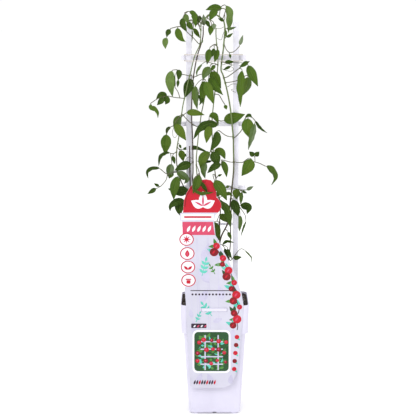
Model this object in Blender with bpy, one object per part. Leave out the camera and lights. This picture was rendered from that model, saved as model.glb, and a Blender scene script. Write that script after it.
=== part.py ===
"""A young clematis climbing a white ladder trellis in a square plastic pot.

Metres, +Z up. The origin is the middle of the pot's base, on the surface it stands on.
+Y points to the back, and the plant's front with its label looks along -Y.
"""

import math

import bmesh
import bpy
from mathutils import Matrix, Vector

# Driving dimensions, in metres
POT_HEIGHT = 0.206
POT_RIM_WIDTH = 0.1240
POT_BODY_WIDTH = 0.1122
POT_BASE_WIDTH = 0.0932
POT_WALL = 0.0014
COLLAR_HEIGHT = 0.053
TRELLIS_TOP = 0.710
TRELLIS_SPACING = 0.0846
TRELLIS_OFFSET = -0.0041
UPRIGHT_WIDTH = 0.010
UPRIGHT_DEPTH = 0.004
RUNG_LENGTH = 0.117
RUNG_HEIGHT = 0.0084
RUNG_DEPTH = 0.003
CARD_THICKNESS = 0.0005
GAP = 0.0003
CUT_PAST = 0.01  # how far a cutter runs past the face it cuts
SHARP_ANGLE = math.radians(35)

# The front view that the plant's places are read from: a frame 416 across, seen from this eye point
VIEW_MIDDLE = 208.0
VIEW_FOCAL = 1218.0
EYE = Vector((-0.0121, -2.2, 0.70))
VIEW_TILT = math.radians(8.42)

PARTS = bpy.data.collections.new("clematis_on_trellis")
TOOLS = bpy.data.collections.new("cutters_and_joined_pieces")


def clear_scene():
    for obj in list(bpy.data.objects):
        bpy.data.objects.remove(obj)
    bpy.context.scene.collection.children.link(PARTS)
    bpy.context.scene.collection.children.link(TOOLS)
    TOOLS.hide_render = True


def material(name, colour, roughness):
    made = bpy.data.materials.new(name)
    made.use_nodes = True
    shader = made.node_tree.nodes["Principled BSDF"]
    shader.inputs["Base Color"].default_value = (*colour, 1)
    shader.inputs["Roughness"].default_value = roughness
    shader.inputs["Metallic"].default_value = 0
    return made


WHITE_PLASTIC = material("white_plastic", (0.80, 0.78, 0.90), 0.35)
TRELLIS_PLASTIC = material("trellis_plastic", (0.86, 0.85, 0.93), 0.4)
PEAT = material("peat", (0.03, 0.02, 0.016), 0.95)
CARD_PLASTIC = material("card_plastic", (0.80, 0.78, 0.88), 0.3)
ELASTIC = material("elastic", (0.72, 0.66, 0.60), 0.7)
LEAF_GREEN = material("leaf_green", (0.08, 0.20, 0.03), 0.5)
GREEN_STEM = material("green_stem", (0.22, 0.28, 0.10), 0.6)
BROWN_STEM = material("brown_stem", (0.12, 0.07, 0.05), 0.7)


def seen_at(column, row, depth_mm):
    """The point that the front view shows at this column and row, depth_mm behind the trellis's front."""
    right = (column - VIEW_MIDDLE) / VIEW_FOCAL
    up = (VIEW_MIDDLE - row) / VIEW_FOCAL
    ahead = math.cos(VIEW_TILT) + up * math.sin(VIEW_TILT)
    rise = up * math.cos(VIEW_TILT) - math.sin(VIEW_TILT)
    reach = (depth_mm / 1000 - EYE.y) / ahead
    return Vector((EYE.x + reach * right, depth_mm / 1000, EYE.z + reach * rise))


def smooth_path(points, steps):
    """Points along a Catmull-Rom curve through the given ones, with this many steps a stretch."""
    ends = [2 * points[0] - points[1], *points, 2 * points[-1] - points[-2]]
    path = []
    for a, b, c, d in zip(ends, ends[1:], ends[2:], ends[3:]):
        for step in range(steps):
            t = step / steps
            bend = 2 * a - 5 * b + 4 * c - d
            twist = 3 * b - a - 3 * c + d
            path.append(0.5 * (2 * b + (c - a) * t + bend * t**2 + twist * t**3))
    return [*path, points[-1].copy()]


def place(name, mesh, surface, collection=PARTS):
    obj = bpy.data.objects.new(name, mesh)
    collection.objects.link(obj)
    mesh.materials.append(surface)
    return obj


def helper(name, mesh):
    """A cutter or a joined piece: the solids are cut by it or take it in, and it isn't a piece itself."""
    obj = place(name, mesh, WHITE_PLASTIC, TOOLS)
    obj.hide_render = True
    obj.display_type = "WIRE"
    return obj


def boolean(obj, other, operation="DIFFERENCE"):
    modifier = obj.modifiers.new(other.name, "BOOLEAN")
    modifier.operation = operation
    modifier.object = other


def box_mesh(name, low, high):
    bm = bmesh.new()
    bmesh.ops.create_cube(bm, size=1)
    size = Vector(high) - Vector(low)
    bmesh.ops.scale(bm, vec=size, verts=bm.verts)
    bmesh.ops.translate(bm, vec=Vector(low) + size / 2, verts=bm.verts)
    mesh = bpy.data.meshes.new(name)
    bm.to_mesh(mesh)
    bm.free()
    return mesh


def cylinder_mesh(name, centre, radius, low, high, sides):
    bm = bmesh.new()
    bmesh.ops.create_cone(bm, cap_ends=True, segments=sides, radius1=radius, radius2=radius, depth=high - low)
    bmesh.ops.translate(bm, vec=(centre[0], centre[1], (low + high) / 2), verts=bm.verts)
    mesh = bpy.data.meshes.new(name)
    bm.to_mesh(mesh)
    bm.free()
    return mesh


def loft_mesh(name, rings):
    """A closed skin over rings of points, all with the same count, capped at both ends."""
    bm = bmesh.new()
    rows = [[bm.verts.new(point) for point in ring] for ring in rings]
    count = len(rows[0])
    for low, high in zip(rows, rows[1:]):
        for i in range(count):
            bm.faces.new((low[i], low[(i + 1) % count], high[(i + 1) % count], high[i]))
    bm.faces.new(list(reversed(rows[0])))
    bm.faces.new(rows[-1])
    bmesh.ops.recalc_face_normals(bm, faces=bm.faces)
    mesh = bpy.data.meshes.new(name)
    bm.to_mesh(mesh)
    bm.free()
    mesh.shade_smooth()
    mesh.set_sharp_from_angle(angle=SHARP_ANGLE)
    return mesh


# The pot: a thin moulded square tub that narrows downwards, with a collar, corner feet and a strap

CORNER_STEPS = 5
RIM_CORNER = 0.013
BASE_CORNER = 0.009
BASE_ROUNDING = 0.006  # how much narrower the tub is at the very bottom of its feet
BASE_ROUND_TOP = 0.0045
FLOOR_UNDERSIDE = 0.0042
FLOOR_THICKNESS = 0.0016
FOOT_SIZE = 0.016
FOOT_RISE = 0.0016
COLLAR_BOTTOM = POT_HEIGHT - COLLAR_HEIGHT
COLLAR_TAPER = 0.003
STEP_RISE = 0.0004
STEP_THICKNESS = 0.0025
NOTCH_HALF_WIDTH = 0.0035
NOTCH_HEIGHT = 0.0036
DRAIN_RADIUS = 0.004
DRAIN_SPREAD = 0.024
STRAP_LOW = 0.1962
STRAP_HEIGHT = 0.0055
STRAP_LEFT = -0.0232
STRAP_RIGHT = 0.0215
STRAP_THICKNESS = 0.0012
STRAP_ROOT = -POT_RIM_WIDTH / 2 + 0.0009
CARD_BACK = -POT_RIM_WIDTH / 2 - GAP


def square_ring(width, corner, z):
    """A square of this width with round corners, at height z."""
    points = []
    reach = width / 2 - corner
    for quarter in range(4):
        turn = Matrix.Rotation(quarter * math.pi / 2, 3, "Z")
        for step in range(CORNER_STEPS + 1):
            angle = step / CORNER_STEPS * math.pi / 2
            x = reach + corner * math.cos(angle)
            y = reach + corner * math.sin(angle)
            points.append(turn @ Vector((x, y, z)))
    return points


def body_width(z):
    """The tub's outer width at height z, below its collar."""
    return POT_BASE_WIDTH + (POT_BODY_WIDTH - POT_BASE_WIDTH) * z / COLLAR_BOTTOM


def pot():
    outer = [
        square_ring(body_width(0) - BASE_ROUNDING, BASE_CORNER, 0),
        square_ring(body_width(0) - BASE_ROUNDING / 4, BASE_CORNER, BASE_ROUND_TOP / 2),
        square_ring(body_width(BASE_ROUND_TOP), BASE_CORNER, BASE_ROUND_TOP),
        square_ring(body_width(COLLAR_BOTTOM), RIM_CORNER, COLLAR_BOTTOM),
        square_ring(POT_RIM_WIDTH - COLLAR_TAPER, RIM_CORNER, COLLAR_BOTTOM + STEP_RISE),
        square_ring(POT_RIM_WIDTH, RIM_CORNER, POT_HEIGHT),
    ]
    obj = place("pot", loft_mesh("pot", outer), WHITE_PLASTIC)
    floor_top = FLOOR_UNDERSIDE + FLOOR_THICKNESS
    step_top = COLLAR_BOTTOM + STEP_THICKNESS
    inset = 2 * POT_WALL
    inner_rim = RIM_CORNER - POT_WALL
    inner = [
        square_ring(body_width(floor_top) - inset, BASE_CORNER - POT_WALL, floor_top),
        square_ring(body_width(COLLAR_BOTTOM) - inset, inner_rim, step_top),
        square_ring(POT_RIM_WIDTH - COLLAR_TAPER - inset, inner_rim, step_top + STEP_RISE),
        square_ring(POT_RIM_WIDTH - inset, inner_rim, POT_HEIGHT + CUT_PAST),
    ]
    boolean(obj, helper("pot_inside", loft_mesh("pot_inside", inner)))
    boolean(obj, helper("pot_underside", underside_mesh()))
    half = POT_BASE_WIDTH / 2
    reach = half - FOOT_SIZE
    notches = (
        ("front_back_recess", reach, POT_RIM_WIDTH, FOOT_RISE),
        ("side_recess", POT_RIM_WIDTH, reach, FOOT_RISE),
        ("front_notch", NOTCH_HALF_WIDTH, POT_RIM_WIDTH, NOTCH_HEIGHT),
    )
    for name, half_x, half_y, height in notches:
        boolean(obj, helper(name, box_mesh(name, (-half_x, -half_y, -CUT_PAST), (half_x, half_y, height))))
    for index, (x, y) in enumerate(((0, 0), (1, 1), (-1, 1), (-1, -1), (1, -1))):
        name = f"drain_hole_{index}"
        centre = (x * DRAIN_SPREAD, y * DRAIN_SPREAD)
        boolean(obj, helper(name, cylinder_mesh(name, centre, DRAIN_RADIUS, 0, CUT_PAST, 12)))
    boolean(obj, helper("label_strap", strap_mesh()), "UNION")


def underside_mesh():
    """The hollow under the floor, which leaves a wall all round and a solid foot in each corner."""
    width = POT_BASE_WIDTH - BASE_ROUNDING - 2 * POT_WALL
    half = width / 2
    cut = half - FOOT_SIZE
    bm = bmesh.new()
    outline = (
        (half, -cut), (half, cut), (cut, cut), (cut, half), (-cut, half), (-cut, cut),
        (-half, cut), (-half, -cut), (-cut, -cut), (-cut, -half), (cut, -half), (cut, -cut),
    )
    face = bm.faces.new([bm.verts.new((x, y, -CUT_PAST)) for x, y in outline])
    grown = bmesh.ops.extrude_face_region(bm, geom=[face])
    top = [item for item in grown["geom"] if isinstance(item, bmesh.types.BMVert)]
    bmesh.ops.translate(bm, vec=(0, 0, CUT_PAST + FLOOR_UNDERSIDE), verts=top)
    bmesh.ops.recalc_face_normals(bm, faces=bm.faces)
    mesh = bpy.data.meshes.new("pot_underside")
    bm.to_mesh(mesh)
    bm.free()
    return mesh


def strap_mesh():
    """A flat bridge on the collar's front that the label hangs on, with both ends run into the collar."""
    front = CARD_BACK - CARD_THICKNESS - GAP
    inner_left = STRAP_LEFT + STRAP_THICKNESS
    inner_right = STRAP_RIGHT - STRAP_THICKNESS
    bm = bmesh.new()
    outline = (
        (STRAP_LEFT, STRAP_ROOT), (STRAP_LEFT, front - STRAP_THICKNESS),
        (STRAP_RIGHT, front - STRAP_THICKNESS), (STRAP_RIGHT, STRAP_ROOT),
        (inner_right, STRAP_ROOT), (inner_right, front), (inner_left, front), (inner_left, STRAP_ROOT),
    )
    face = bm.faces.new([bm.verts.new((x, y, STRAP_LOW)) for x, y in outline])
    grown = bmesh.ops.extrude_face_region(bm, geom=[face])
    top = [item for item in grown["geom"] if isinstance(item, bmesh.types.BMVert)]
    bmesh.ops.translate(bm, vec=(0, 0, STRAP_HEIGHT), verts=top)
    bmesh.ops.recalc_face_normals(bm, faces=bm.faces)
    mesh = bpy.data.meshes.new("label_strap")
    bm.to_mesh(mesh)
    bm.free()
    return mesh


# The trellis: one flat moulded ladder, its two legs pushed deep into the soil

RUNG_MIDDLES = (0.6467, 0.5280, 0.4115)
THIN_BAR_MIDDLE = 0.3445
THIN_BAR_HEIGHT = 0.004
LEG_TIP = 0.105
LEG_TAPER_TOP = 0.150
LEG_TIP_WIDTH = 0.004
RUNG_MIDDLE_X = -0.0022


def upright_mesh(name, middle, top, slack):
    """An upright with its leg narrowed to a blunt tip, this much larger all round than its size."""
    rings = []
    for z, width in ((LEG_TIP - slack, LEG_TIP_WIDTH), (LEG_TAPER_TOP, UPRIGHT_WIDTH), (top, UPRIGHT_WIDTH)):
        left = middle - width / 2 - slack
        right = middle + width / 2 + slack
        back = UPRIGHT_DEPTH + slack
        rings.append([(left, -slack, z), (right, -slack, z), (right, back, z), (left, back, z)])
    return loft_mesh(name, rings)


def trellis():
    left = TRELLIS_OFFSET - TRELLIS_SPACING / 2
    right = TRELLIS_OFFSET + TRELLIS_SPACING / 2
    obj = place("trellis", upright_mesh("trellis", left, TRELLIS_TOP, 0), TRELLIS_PLASTIC)
    boolean(obj, helper("right_upright", upright_mesh("right_upright", right, TRELLIS_TOP, 0)), "UNION")
    front = (UPRIGHT_DEPTH - RUNG_DEPTH) / 2
    for number, middle in enumerate(RUNG_MIDDLES, 1):
        name = f"rung_{number}"
        low = (RUNG_MIDDLE_X - RUNG_LENGTH / 2, front, middle - RUNG_HEIGHT / 2)
        high = (RUNG_MIDDLE_X + RUNG_LENGTH / 2, front + RUNG_DEPTH, middle + RUNG_HEIGHT / 2)
        boolean(obj, helper(name, box_mesh(name, low, high)), "UNION")
    low = (left, front, THIN_BAR_MIDDLE - THIN_BAR_HEIGHT / 2)
    high = (right, front + RUNG_DEPTH, THIN_BAR_MIDDLE + THIN_BAR_HEIGHT / 2)
    boolean(obj, helper("thin_bar", box_mesh("thin_bar", low, high)), "UNION")


# The elastic band: one loop that holds the stems to the top rung, hooked behind the rung's two ends

BAND_RADIUS = 0.0008
BAND_CLEARANCE = 0.0014
BAND_LEFT = -0.0541
BAND_RIGHT = 0.0495
BAND_FRONT = -0.0100
BAND_BACK = 0.0055
BAND_TURN_IN = 0.011  # how far in from its hooks the strands reach their front line


def band_points():
    """The loop's route: in front above the rung, behind its right end, back below, behind its left end."""
    top = RUNG_MIDDLES[0] + RUNG_HEIGHT / 2 + BAND_CLEARANCE
    bottom = RUNG_MIDDLES[0] - RUNG_HEIGHT / 2 - BAND_CLEARANCE
    edge = (
        (BAND_TURN_IN, BAND_FRONT), (0.003, -0.0035), (0, 0.001), (0, BAND_BACK - 0.001),
    )
    route = []
    for hook, side, first, last in ((BAND_RIGHT, -1, top, bottom), (BAND_LEFT, 1, bottom, top)):
        towards = 1 if last > first else -1
        down = [(hook + side * inward, y, first) for inward, y in edge]
        up = [(hook + side * inward, y, last) for inward, y in reversed(edge)]
        down[-1] = (hook, BAND_BACK - 0.001, first + towards * 0.001)
        up[0] = (hook, BAND_BACK - 0.001, last - towards * 0.001)
        route += [*down, (hook, BAND_BACK, RUNG_MIDDLES[0]), *up]
    return [Vector(point) for point in route]


def curve_solid(name, points, radius, cyclic, taper_to=1.0):
    """A round bar along the points, as a mesh with welded ends. Its radius runs to radius * taper_to."""
    curve = bpy.data.curves.new(name, "CURVE")
    curve.dimensions = "3D"
    curve.bevel_depth = radius
    curve.bevel_resolution = 1
    curve.use_fill_caps = not cyclic
    spline = curve.splines.new("POLY")
    spline.points.add(len(points) - 1)
    for index, (slot, point) in enumerate(zip(spline.points, points)):
        slot.co = (*point, 1)
        slot.radius = 1 + (taper_to - 1) * index / (len(points) - 1)
    spline.use_cyclic_u = cyclic
    route = bpy.data.objects.new(name + "_route", curve)
    TOOLS.objects.link(route)
    graph = bpy.context.evaluated_depsgraph_get()
    mesh = bpy.data.meshes.new_from_object(route.evaluated_get(graph))
    bpy.data.objects.remove(route)
    bm = bmesh.new()
    bm.from_mesh(mesh)
    bmesh.ops.remove_doubles(bm, verts=bm.verts, dist=0.00001)
    bm.to_mesh(mesh)
    bm.free()
    mesh.shade_smooth()
    mesh.materials.clear()
    return mesh


def elastic_band():
    place("elastic_band", curve_solid("elastic_band", band_points(), BAND_RADIUS, True), ELASTIC)


# The label: a die-cut plastic card with two slots that hang on the pot's strap

CARD_OUTLINE = (
    (182.9, 212.6), (184, 200), (186.5, 193), (190, 187), (195, 182.5), (200, 180), (206, 179.2),
    (211, 180.2), (214.5, 184), (216, 190), (216.6, 197.2), (219.2, 199.8), (221, 203), (221.4, 207),
    (219.6, 211.2), (215, 215.4), (214.2, 222), (215.4, 235), (220, 243.5), (224, 252), (228.5, 260),
    (234.5, 272), (237.5, 279), (239, 286), (241.5, 293), (243.5, 305), (242.6, 320), (240, 345),
    (238, 368), (234, 379), (230, 385.5), (222, 388), (194, 388), (190.4, 386), (187, 335), (186, 305),
    (184.6, 287.6),
)
CARD_LEFT_SHOULDER = ((182, 226), (182, 221), (180, 220.6), (180, 213.2), (182.7, 212.9))
BADGE_MIDDLES = ((188.5, 280.3), (188.0, 267.0), (187.3, 253.5), (186.6, 239.4))
BADGE_WIDTH = 7.6
BADGE_HEIGHT = 6.7
BADGE_ARC = (math.radians(110), math.radians(250))
BADGE_STEPS = 6
SLOT_WIDTH = 0.0026
SLOT_MARGIN = 0.0006


def card_points():
    """The card's outline in its own plane: the listed edge, then up the left side round the four badges."""
    points = list(CARD_OUTLINE)
    for column, row in BADGE_MIDDLES:
        for step in range(BADGE_STEPS + 1):
            angle = BADGE_ARC[1] + (BADGE_ARC[0] - BADGE_ARC[1]) * step / BADGE_STEPS
            points.append((column + BADGE_WIDTH * math.cos(angle), row - BADGE_HEIGHT * math.sin(angle)))
    points.extend(CARD_LEFT_SHOULDER)
    return [seen_at(column, row, 1000 * CARD_BACK) for column, row in points]


def plant_label():
    bm = bmesh.new()
    face = bm.faces.new([bm.verts.new((point.x, CARD_BACK, point.z)) for point in card_points()])
    grown = bmesh.ops.extrude_face_region(bm, geom=[face])
    front = [item for item in grown["geom"] if isinstance(item, bmesh.types.BMVert)]
    bmesh.ops.translate(bm, vec=(0, -CARD_THICKNESS, 0), verts=front)
    bmesh.ops.recalc_face_normals(bm, faces=bm.faces)
    mesh = bpy.data.meshes.new("plant_label")
    bm.to_mesh(mesh)
    bm.free()
    obj = place("plant_label", mesh, CARD_PLASTIC)
    half_strap = STRAP_THICKNESS / 2
    for name, middle in (("left_slot", STRAP_LEFT + half_strap), ("right_slot", STRAP_RIGHT - half_strap)):
        low = (middle - SLOT_WIDTH / 2, CARD_BACK - CUT_PAST, STRAP_LOW - SLOT_MARGIN)
        high = (middle + SLOT_WIDTH / 2, CARD_BACK + CUT_PAST, STRAP_LOW + STRAP_HEIGHT + SLOT_MARGIN)
        boolean(obj, helper(name, box_mesh(name, low, high)))


# The vine stems. Each route is (column, row, depth in mm) down the front view, then straight into the soil

SOIL_TOP = 0.2025
STEM_SEAT = 0.018
FOOT_GROWTH = 1.15  # a stem's radius at its foot, as a share of its listed radius
TIP_SHARE = 0.75  # a stem's radius at its tip, as a share of that at its foot
STEMS = {
    "stem_left": (0.0010, "green", [
        (201, 22, -5), (200.8, 33, -6), (200, 44, -7), (196.5, 52, -6), (193.5, 60, -7),
        (190.5, 73, -12), (188.5, 80, -12), (185.5, 94, -12), (183, 105, -12), (181.4, 116, -12),
        (180.2, 127, -12), (179, 136, -11), (177, 148, -9), (176.5, 160, -8), (178, 172, -8),
        (181, 181, -9), (184, 188, -10), (188, 204, -13), (195, 240, -16), (202, 275, -15),
        (206, 296, -14),
    ]),
    "stem_brown": (0.0011, "brown", [
        (203.2, 26, -1.5), (203, 36, -1.5), (200.5, 46, -2.5), (197.5, 55, -3), (194.5, 70, -3),
        (192.6, 85, -3), (191.7, 105, -3), (191.7, 120, -3), (192.6, 140, -3), (193, 170, -3),
        (192.6, 180, -3), (194, 205, -4), (196, 232, -4), (198, 262, -3), (200, 296, 4),
    ]),
    "stem_right": (0.0013, "green", [
        (204, 20, -8), (208, 15.5, -8), (212, 14.2, -8), (215.5, 14.5, -8), (219, 16.5, -8),
        (222, 19, -8), (224, 22, -8), (225, 30, -7), (224.3, 38, -6), (223.5, 48, -6), (222.4, 56, -5),
        (221.2, 66, -6), (221.2, 71, -6), (223, 75, -6), (226.5, 88, -7), (229.5, 103, -7),
        (231.5, 118, -7.5), (232.3, 127, -7), (233.3, 137.7, -6), (233.5, 150, -6), (233.8, 162, -6),
        (233.5, 172, -6), (232, 187, -6), (230, 205, -8), (228, 222, -10), (225, 229, -10),
        (221.5, 236, -11), (219, 247, -12), (216, 272, -9), (213, 296, -6),
    ]),
    "stem_centre": (0.0010, "green", [
        (216, 28, -12), (216, 35, -12), (216.6, 43, -9), (217.3, 50, -5), (218, 60, -4.5),
        (217, 75, -4), (214, 100, -4), (212, 123, -4), (213, 150, -4), (216, 180, -5), (220.3, 205, -5),
        (219.6, 222, -4), (219.9, 235, -4), (219, 256, -4), (218, 275, 0), (217, 296, 6),
    ]),
    "stem_pale": (0.0010, "green", [
        (204.5, 98, -11), (203.2, 105, -11), (201.3, 114, -10), (199.7, 127, -9), (198.5, 135, -9),
        (197, 150, -9), (196.3, 160, -9), (197, 175, -10), (200, 200, -9), (204, 240, -4),
        (208.5, 296, 4),
    ]),
    "stem_old": (0.0012, "brown", [
        (189.6, 146, -7.5), (189.8, 165, -7), (190.2, 185, -7), (191.5, 205, -9), (193.5, 245, -11),
        (199, 296, -9),
    ]),
    "stem_low": (0.0010, "green", [
        (231.4, 205, 8), (230.6, 226, 7), (230.4, 241, 7), (229.6, 253, 6.5), (227, 272, 5),
        (223, 296, 3),
    ]),
}


def stem_route(points):
    route = smooth_path([seen_at(*point) for point in points], 2)
    seat = route[-1].copy()
    seat.z = SOIL_TOP - STEM_SEAT
    return [*route, seat]


def stems():
    colours = {"green": GREEN_STEM, "brown": BROWN_STEM}
    for name, (radius, colour, points) in STEMS.items():
        route = list(reversed(stem_route(points)))
        place(name, curve_solid(name, route, radius * FOOT_GROWTH, False, TIP_SHARE), colours[colour])


# The root ball: peat that fills the pot, with pockets for the trellis's legs and the stems

SOIL_BOTTOM = FLOOR_UNDERSIDE + FLOOR_THICKNESS + GAP
SOIL_COLLAR_CLEARANCE = 0.0045
SOIL_RIM_CLEARANCE = 0.0008
POCKET_TOP = 0.25
POCKET_SLACK = 0.0004


def root_ball():
    slack = 2 * POT_WALL + 2 * GAP
    corner = RIM_CORNER - POT_WALL
    neck = body_width(COLLAR_BOTTOM) - slack
    step_top = COLLAR_BOTTOM + 0.004
    rings = [
        square_ring(body_width(SOIL_BOTTOM) - slack, BASE_CORNER - POT_WALL, SOIL_BOTTOM),
        square_ring(neck, corner, COLLAR_BOTTOM),
        square_ring(neck + 0.0002, corner, step_top),
        square_ring(POT_RIM_WIDTH - SOIL_COLLAR_CLEARANCE - slack, corner, step_top + 2 * STEP_RISE),
        square_ring(POT_RIM_WIDTH - SOIL_RIM_CLEARANCE - slack, corner, SOIL_TOP),
    ]
    obj = place("root_ball", loft_mesh("root_ball", rings), PEAT)
    for side in (-1, 1):
        middle = TRELLIS_OFFSET + side * TRELLIS_SPACING / 2
        name = f"leg_pocket_{side}"
        boolean(obj, helper(name, upright_mesh(name, middle, POCKET_TOP, GAP)))
    for name, (radius, _colour, points) in STEMS.items():
        pocket = f"{name}_pocket"
        wide = radius * FOOT_GROWTH + POCKET_SLACK
        mesh = cylinder_mesh(pocket, seen_at(*points[-1]), wide, SOIL_TOP - STEM_SEAT - GAP, POCKET_TOP, 10)
        boolean(obj, helper(pocket, mesh))


# The leaves. Each is one piece: a stalk, and leaflets that are a blade on a stalk of its own.
# A leaf is (stem it grows from, how much its depth is drawn out, stalk, leaflets), and a leaflet is
# (apparent width, stalk, blade).
# All places are (column, row, depth in mm) on the front view, and a stalk starts on its stem.

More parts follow.
